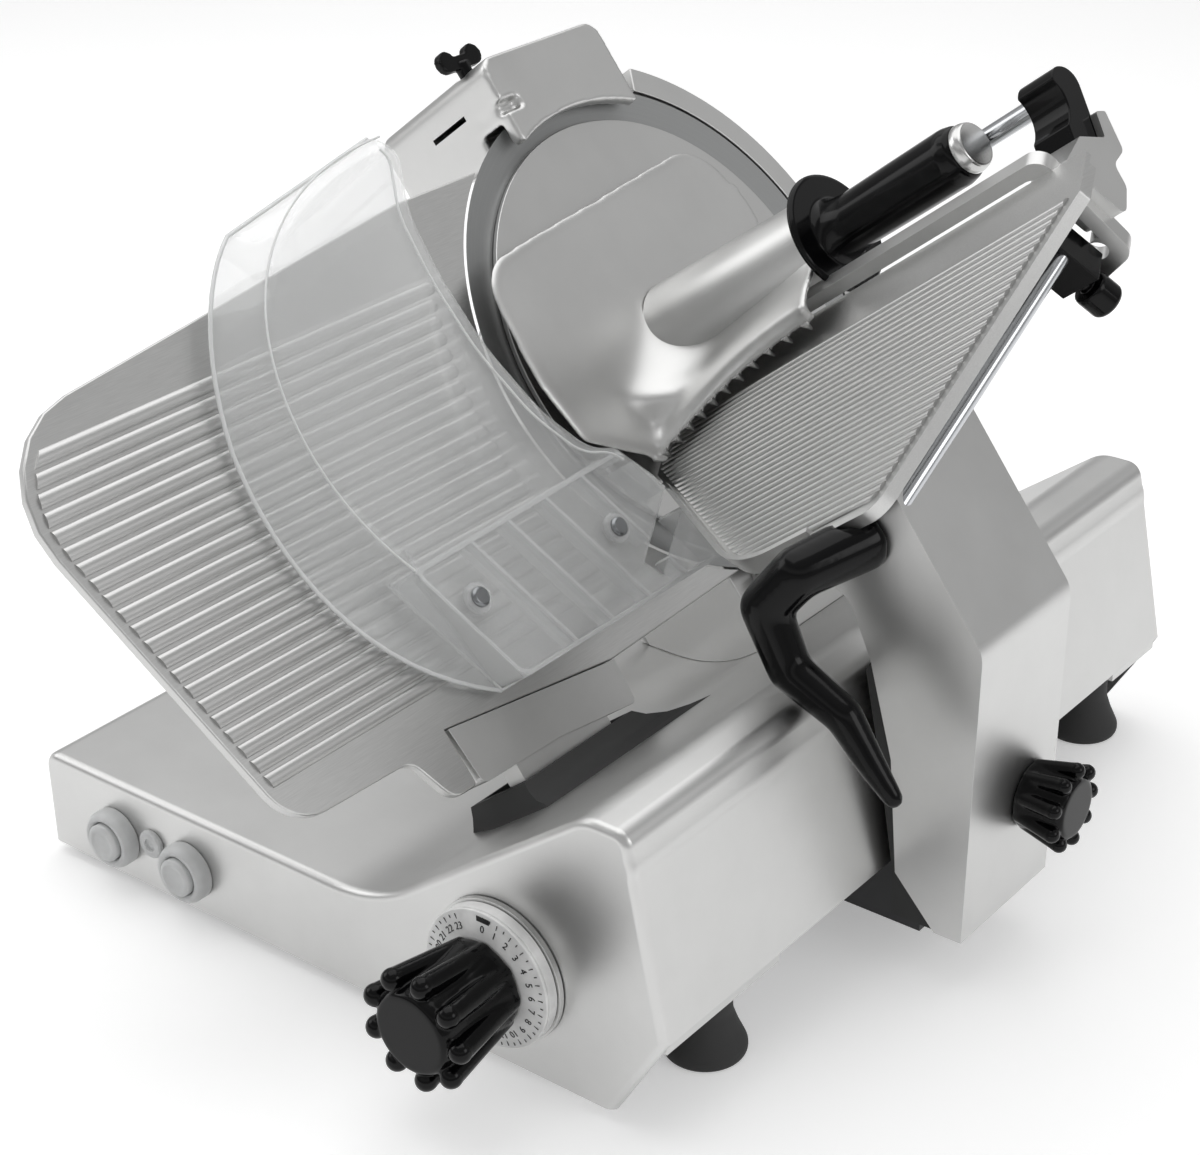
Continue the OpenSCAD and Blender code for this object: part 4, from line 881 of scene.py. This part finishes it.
class SLICER_OT_guard(SlicerOperator, bpy.types.Operator):
    """Makes the clear hand guard and its screws"""
    bl_idname = "slicer.guard"
    bl_label = "Clear guard"

    def execute(self, context):
        fold = ((-181.5, 171.6), (-338.25, 168.3), (-374.55, 33), (-321.75, -57.75))
        tub = [(-321.75, -57.75), (-288.75, -138.6), (-92.4, -138.6), (-132, -52.8)]
        inner = rounded([*tub[1:], (-156.75, -44.55), (-176.55, -11.55), (-189.75, 36.3), (-193.05, 82.5),
                         (-189.75, 125.4), (-173.25, 158.4), (-181.5, 171.6)], 12)[:-1]
        # Where the outer rim ends its straight part and its high part
        bent = 0.3

        def rim(u):
            start, corner = Vector((-178, 176)), Vector((-308, 152))
            if u < bent:
                return tuple(start.lerp(corner, u / bent))
            return bend((corner, (-372, 110), (-424, -60), (-288.75, -138.6)), (u - bent) / (1 - bent))

        def height(u):
            return 17.4 if u < bent else 5 + 12.4 * max(0, 1 - (u - bent) / bent)

        # The flat sheet, folded down along its left side to the rim
        steps, top = 28, 29.5
        own = bmesh.new()
        line = [Vector((*bend(fold, i / steps), top)) for i in range(steps + 1)]
        lines = outline(own, line + [(*point, top) for point in inner])
        bmesh.ops.contextual_create(own, geom=lines)
        folded = lines[:steps]
        drawn = bmesh.ops.extrude_edge_only(own, edges=folded)["geom"]
        for vert in verts_of(drawn):
            u = min(range(steps + 1), key=lambda k: (vert.co - line[k]).length) / steps
            vert.co = (*rim(u), height(u))
        bevel(own, folded, 9, 6)
        sheet = self.shell(own)

        # The box under the sheet, with its four ribs
        own = bmesh.new()
        drawn = bmesh.ops.extrude_edge_only(own, edges=outline(own, [(*point, 28.6) for point in tub]))["geom"]
        bmesh.ops.translate(own, vec=(0, 0, -23.6), verts=verts_of(drawn))
        bevel(own, [e for e in own.edges if abs(e.verts[0].co.z - e.verts[1].co.z) > 10], 8, 4)
        walls = self.shell(own)
        ribs = bmesh.new()
        corners = [Vector(point) for point in tub]
        for u in (0.25, 0.42, 0.6, 0.78):
            a, b = corners[1].lerp(corners[2], u), corners[0].lerp(corners[3], u)
            place = shift(*(a + b) / 2, 22) @ turned(atan2(b.y - a.y, b.x - a.x))
            block(ribs, place, (0, 0, 0), ((b - a).length - 3, 2.4, 13.2))
        ribs = carved(ribs, self.tray_room())
        boss = [(3.4, 31.1), (9.5, 31.1), (9.5, 33), (8.7, 34), (4.2, 34), (3.4, 33.2), (3.4, 31.1)]
        for x, y in SCREWS:
            sheet = join(sheet, lathe(boss, shift(x, y, 0), 40))
        ease(sheet, 0.5, 2, 40)
        self.add_clear(sheet, "clear_guard", clear_acrylic(), "hand_guard")
        walls = join(walls, ribs)
        ease(walls, 0.5, 2, 40)
        self.add_clear(walls, "guard_box", clear_acrylic("thick_clear_plastic", 0.25, 0.62))

        # Round beads along the edges and the fold, nearly opaque and white: a painted highlight where they gather
        # light
        spots = [i / 40 for i in range(41)]
        outer = [(*rim(u), height(u)) for u in spots]
        crease = [(*bend(fold, u), 31) for u in spots]
        lip = [(*point, 32.1) for point in inner[1:]]
        highlight_beads = None
        for points, radius in ((outer, 1.3), ([crease[0], outer[0]], 1.1), (crease, 0.7), (lip, 1.3),
                               ([(x - 10.5, y, z) for x, y, z in lip if x > -215 and y > -60], 0.8),
                               ([(*point, 32) for point in tub + tub[:1]], 1.3),
                               ([(*point, 6) for point in tub + tub[:1]], 1.1)):
            highlight_beads = wire(highlight_beads, points, radius)
        highlight_beads = carved(highlight_beads, self.tray_room())
        # The beads' nearly opaque white material is a painted highlight on the guard's edges.
        self.add_clear(highlight_beads, "guard_edge_highlights", clear_acrylic("clear_edge_highlight", 0.3, 0.95), crease=60)
        screws = None
        screw = rounded([(0, 31.2), (3.2, 31.2), (3.2, 34), (6, 34), (6, 35.6), (4.6, 36.8), (0, 37)], 0.5)
        for x, y in SCREWS:
            screws = lathe(screw, CUTTING @ shift(x, y, 0), 40, screws)
        finish(screws, "guard_screw_heads", "carriage", "steel", turned_metal("screw_steel", linear("8E9092"), 0.25),
               ("guard_screws",))
        return {"FINISHED"}

    def shell(self, mesh):
        """Faces given the sheet's thickness, less the tray's room."""
        outward(mesh)
        bmesh.ops.solidify(mesh, geom=mesh.faces, thickness=sizes().sheet * 1000)
        return carved(closed(mesh), self.tray_room())

    def add_clear(self, mesh, name, material, *nodes, crease=45):
        """Finishes a clear piece that was made in the cutting frame."""
        mesh.transform(CUTTING)
        finish(mesh, name, "carriage", "clear_plastic", material, nodes, crease=crease, weighted=False)

    def tray_room(self):
        """The room that the tray takes beside the guard, in the cutting frame."""
        room = prism([(-83, -10.5), (248, -10.5), (248, 60), (-24, 60), (-24, 5.5), (-83, 5.5)], -1, 165)
        room.transform(TRAY_PLACE @ TRAY_TURN)
        return room


class SLICER_OT_pusher(SlicerOperator, bpy.types.Operator):
    """Blends the pusher's casting and makes its grip"""
    bl_idname = "slicer.pusher"
    bl_label = "Last-slice pusher"

    def execute(self, context):
        # The plate's curved edge in the tray's e and n
        skirt = ((0, 16.5), (24.75, 49.5), (42.9, 75.9), (46.2, 145.2))
        path = [bend(skirt, i / 24) for i in range(25)]

        # A wide hollow between the plate and the skirt's top
        rise = 42
        arc = [(20 + rise * (1 - cos(a)), 13 + rise * (1 - sin(a)))
               for a in (radians(15 * k) for k in range(7))]
        fillet = prism(arc + [(20 + rise, 10), (16, 10), (16, 13 + rise)], 10, 90)
        # The outline's x becomes n and its depth becomes e, where the hollow rises by 0.105.
        fillet.transform(Matrix(((0, 0, 1, 0), (0, 1, 0.105, 0), (1, 0, 0, 0), (0, 0, 0, 1))))
        outward(fillet)
        room = prism([(e + 15, n) for e, n in path] + [(115, 145), (115, 5)], -20, 80)
        room.transform(FLOOR)
        outward(room)
        fillet = carved(fillet, room, "INTERSECT")
        fillet.transform(TRAY)
        hood = blended(join(copy_of("pusher_hood"), fillet), 0.0015, 2)

        # The hood's top is bent down by 3 mm behind its edge.
        back = TRAY.inverted()
        for vert in hood.verts:
            spot = back @ vert.co
            edge = min(path, key=lambda q: abs(q[1] - spot.z))[0]
            u = min(1, max(0, (spot.x - edge - 13) / 22))
            if spot.y > 8:
                spot.y -= 3 * u * u * (3 - 2 * u)
                vert.co = TRAY @ spot
        mesh = blended(join(copy_of("pusher_plate"), hood), 0.0015, 4)
        flat = CUTTING.inverted()
        high = [v for v in mesh.verts if (back @ v.co).y > 11.5 and (flat @ v.co).z < 140]
        soften(mesh, high, 70)
        teeth = 11
        for i in range(teeth):
            e, n = bend(skirt, (i + 0.5) / teeth)
            tooth = bmesh.ops.create_cone(mesh, cap_ends=True, segments=16, radius1=0.6, radius2=3.2, depth=7)["verts"]
            place = TRAY @ shift(e + 0.6, 5.6, n) @ turned(-pi / 2, "X")
            bmesh.ops.transform(mesh, matrix=place, verts=tooth)

        # The tube narrows upwards and leans away from the rod's run at its foot.
        tube = lathe(rounded([(0, 13), (29.6, 13), (29.6, 21.3), (31.4, 21.3), (27.6, 145), (0, 145)], 0.5),
                     TUBE, 96)
        for vert in tube.verts:
            vert.co.x -= 19 * max(0, 1 - (vert.co.z - 13) / 120)
        run = lathe([(0, 10), (10.5, 10), (10.5, 160), (0, 160)], ROD, 48)
        tube = carved(tube, run)
        tube.transform(CUTTING)
        frame_room = bmesh.new()
        block(frame_room, TRAY, (71, -75.2, 84), (21, 179, 172))
        mesh = join(carved(mesh, frame_room.copy()), carved(tube, frame_room))
        cast(mesh, "pusher_casting", "pusher", "pusher_plate", "pusher_hood", **SKIN)
        flange = rounded([(0, 145.3), (36, 145.3), (38, 146.8), (38, 148.8), (36, 150.3), (22, 150.3), (18, 155)], 1.5)
        grip = flange[:-1] + rounded([(18.5, 155), (17.4, 167), (17.8, 205), (18, 248), (16.5, 254), (15, 256),
                                      (0, 256)], 2.5)
        black(lathe(grip, CUTTING @ TUBE), "grip_moulding", "pusher", "pusher_grip", "grip_flange", crease=50)
        cap = rounded([(0, 256), (15.1, 256), (15.1, 260), (13.5, 264.2), (0, 264.2)], 1.5)
        finish(lathe(cap, CUTTING @ TUBE), "grip_end", "pusher", "steel",
               turned_metal("turned_cap", colours().plate, 0.22), ("grip_cap",))
        return {"FINISHED"}


class SLICER_OT_works(SlicerOperator, bpy.types.Operator):
    """Gives the rods, bushes, motor, belt and board their materials"""
    bl_idname = "slicer.works"
    bl_label = "Inner works"

    def execute(self, context):
        chrome = turned_metal("hard_chromed_rod", linear("C9CBCE"), 0.16)
        dress(chrome, "steel", "slide_rod", "guide_rail", "gauge_guide_rod", "guide_rod", "strut_rod",
              "pusher_sleeve", "cam_pin", "blade_shaft", "base_screws", "guard_screws")
        dress(turned_metal("bearing_bronze", linear("B08A4A"), 0.3), "bronze", "slide_bush", "gauge_bush")
        dress(turned_metal("machined_steel", linear("9FA1A4"), 0.3), "steel", "blade_bearings", "gauge_cam",
              "motor_pulley", "gauge_guide_bracket")
        dress(moulded("grey_enamel", linear("5A5C60"), 0.4), "motor_grey", "motor", "bottom_plate")
        # The arm's liner gets black rubber: a dark sheet that paints the shade in the gap between the arm and the
        # base.
        dress(black_rubber(), "black_rubber", "drive_belt", "arm_liner")
        dress(moulded("dark_carriage_paint", linear("2C2C2E"), 0.45), "black_plastic", "carriage_foot")
        dress(moulded("circuit_board", linear("2A5A3C"), 0.35), "board_green", "control_board")
        dress(moulded("grinding_stone", linear("7C6A58"), 0.9, grain=0.8, depth=0.5), "stone", "sharpener_stones")
        return {"FINISHED"}


class SLICER_OT_stage(SlicerOperator, bpy.types.Operator):
    """Adds the floor, the studio light and the camera"""
    bl_idname = "slicer.stage"
    bl_label = "Stage"

    def execute(self, context):
        scene = context.scene
        floor = bmesh.new()
        bmesh.ops.create_grid(floor, x_segments=1, y_segments=1, size=12.0)
        data = bpy.data.meshes.new("studio_floor")
        floor.to_mesh(data)
        floor.free()
        ground = placed("studio_floor", data)
        material, tree, shader = new_material("studio_paper")
        set_shader(shader, Base_Color=rgba(linear("F2F2F2")), Roughness=0.9, Specular_IOR_Level=0.1)
        path = add(tree, "ShaderNodeLightPath")
        seen = path.outputs["Is Camera Ray"]
        for ray in ("Is Glossy Ray", "Is Transmission Ray"):
            seen = add(tree, "ShaderNodeMath", {"operation": "MAXIMUM"}, _0=seen,
                       _1=path.outputs[ray]).outputs["Value"]
        glow = add(tree, "ShaderNodeMath", {"operation": "MULTIPLY"}, _0=seen)
        glow.inputs[1].default_value = 0.34
        tree.links.new(glow.outputs["Value"], shader.inputs["Emission Strength"])
        shader.inputs["Emission Color"].default_value = (1, 1, 1, 1)
        data.materials.append(material)

        world = bpy.data.worlds.new("studio")
        scene.world = world
        world.use_nodes = True
        tree = world.node_tree
        ray = add(tree, "ShaderNodeTexCoord").outputs["Generated"]
        height = add(tree, "ShaderNodeSeparateXYZ", Vector=ray).outputs["Z"]
        ramp = add(tree, "ShaderNodeValToRGB", Fac=height)
        # The ends are coloured first, because a new stop moves the ones after it.
        stops = ramp.color_ramp.elements
        stops[0].color, stops[1].color = (0.5, 0.5, 0.5, 1), (0.7, 0.7, 0.7, 1)
        for position, level in ((0.08, 0.66), (0.25, 0.36), (0.42, 1.08), (0.66, 0.46)):
            stops.new(position).color = (level, level, level, 1)
        tree.links.new(ramp.outputs["Color"], tree.nodes["Background"].inputs["Color"])
        tree.nodes["Background"].inputs["Strength"].default_value = 0.7

        target = Vector((0, 0, 0.2))
        for name, place, size, power in (("overhead_softbox", (-0.5, 0.3, 2.1), 2.6, 25),
                                         ("left_softbox", (-1.9, -0.9, 1.3), 1.2, 7),
                                         ("right_softbox", (2.0, 0.2, 1.2), 1.0, 6)):
            lamp = bpy.data.lights.new(name, "AREA")
            lamp.shape = "SQUARE"
            lamp.size = size
            lamp.energy = power
            holder = placed(name, lamp)
            holder.location = place
            holder.rotation_euler = (target - Vector(place)).to_track_quat("-Z", "Y").to_euler()

        # The photograph's camera, from its vanishing points
        ahead = Vector((-0.5508, 0.6973, -0.4586)).normalized()
        heading = radians(38.3)
        right = Vector((cos(heading), sin(heading), 0))
        up = right.cross(ahead)
        tilt = radians(-0.85)
        side = right * cos(tilt) + up * sin(tilt)
        rise = up * cos(tilt) - right * sin(tilt)
        lens = bpy.data.cameras.new("photo_camera")
        lens.lens = 75.9
        lens.sensor_width = 36
        lens.clip_start = 0.05
        lens.clip_end = 60
        camera = placed("photo_camera", lens)
        camera.matrix_world = shift(0.8086, -1.0594, 0.8679) @ Matrix(
            (side, rise, -ahead)).transposed().to_4x4()
        scene.camera = camera
        scene.view_settings.view_transform = "Standard"
        return {"FINISHED"}


STEPS = ("base", "head", "blade", "gauge", "controls", "carriage", "tray", "lever", "guard", "pusher", "works",
         "stage")


class SLICER_PT_panel(bpy.types.Panel):
    """Lists the slicer's operators and sizes"""
    bl_idname = "SLICER_PT_panel"
    bl_label = "Food Slicer"
    bl_space_type = "VIEW_3D"
    bl_region_type = "UI"
    bl_category = "Slicer"

    def draw(self, context):
        for step in STEPS:
            self.layout.operator("slicer." + step)
        for group in (context.scene.slicer_sizes, context.scene.slicer_colours):
            for name in group.__annotations__:
                self.layout.prop(group, name)


CLASSES = (SlicerSizes, SlicerColours, SLICER_OT_base, SLICER_OT_head, SLICER_OT_blade, SLICER_OT_gauge,
           SLICER_OT_controls, SLICER_OT_carriage, SLICER_OT_tray, SLICER_OT_lever, SLICER_OT_guard,
           SLICER_OT_pusher, SLICER_OT_works, SLICER_OT_stage, SLICER_PT_panel)


def register():
    for cls in CLASSES:
        bpy.utils.register_class(cls)
    bpy.types.Scene.slicer_sizes = PointerProperty(type=SlicerSizes)
    bpy.types.Scene.slicer_colours = PointerProperty(type=SlicerColours)


def unregister():
    del bpy.types.Scene.slicer_colours
    del bpy.types.Scene.slicer_sizes
    for cls in reversed(CLASSES):
        bpy.utils.unregister_class(cls)


def main():
    register()
    for step in STEPS:
        getattr(bpy.ops.slicer, step)()


if __name__ == "__main__":
    main()
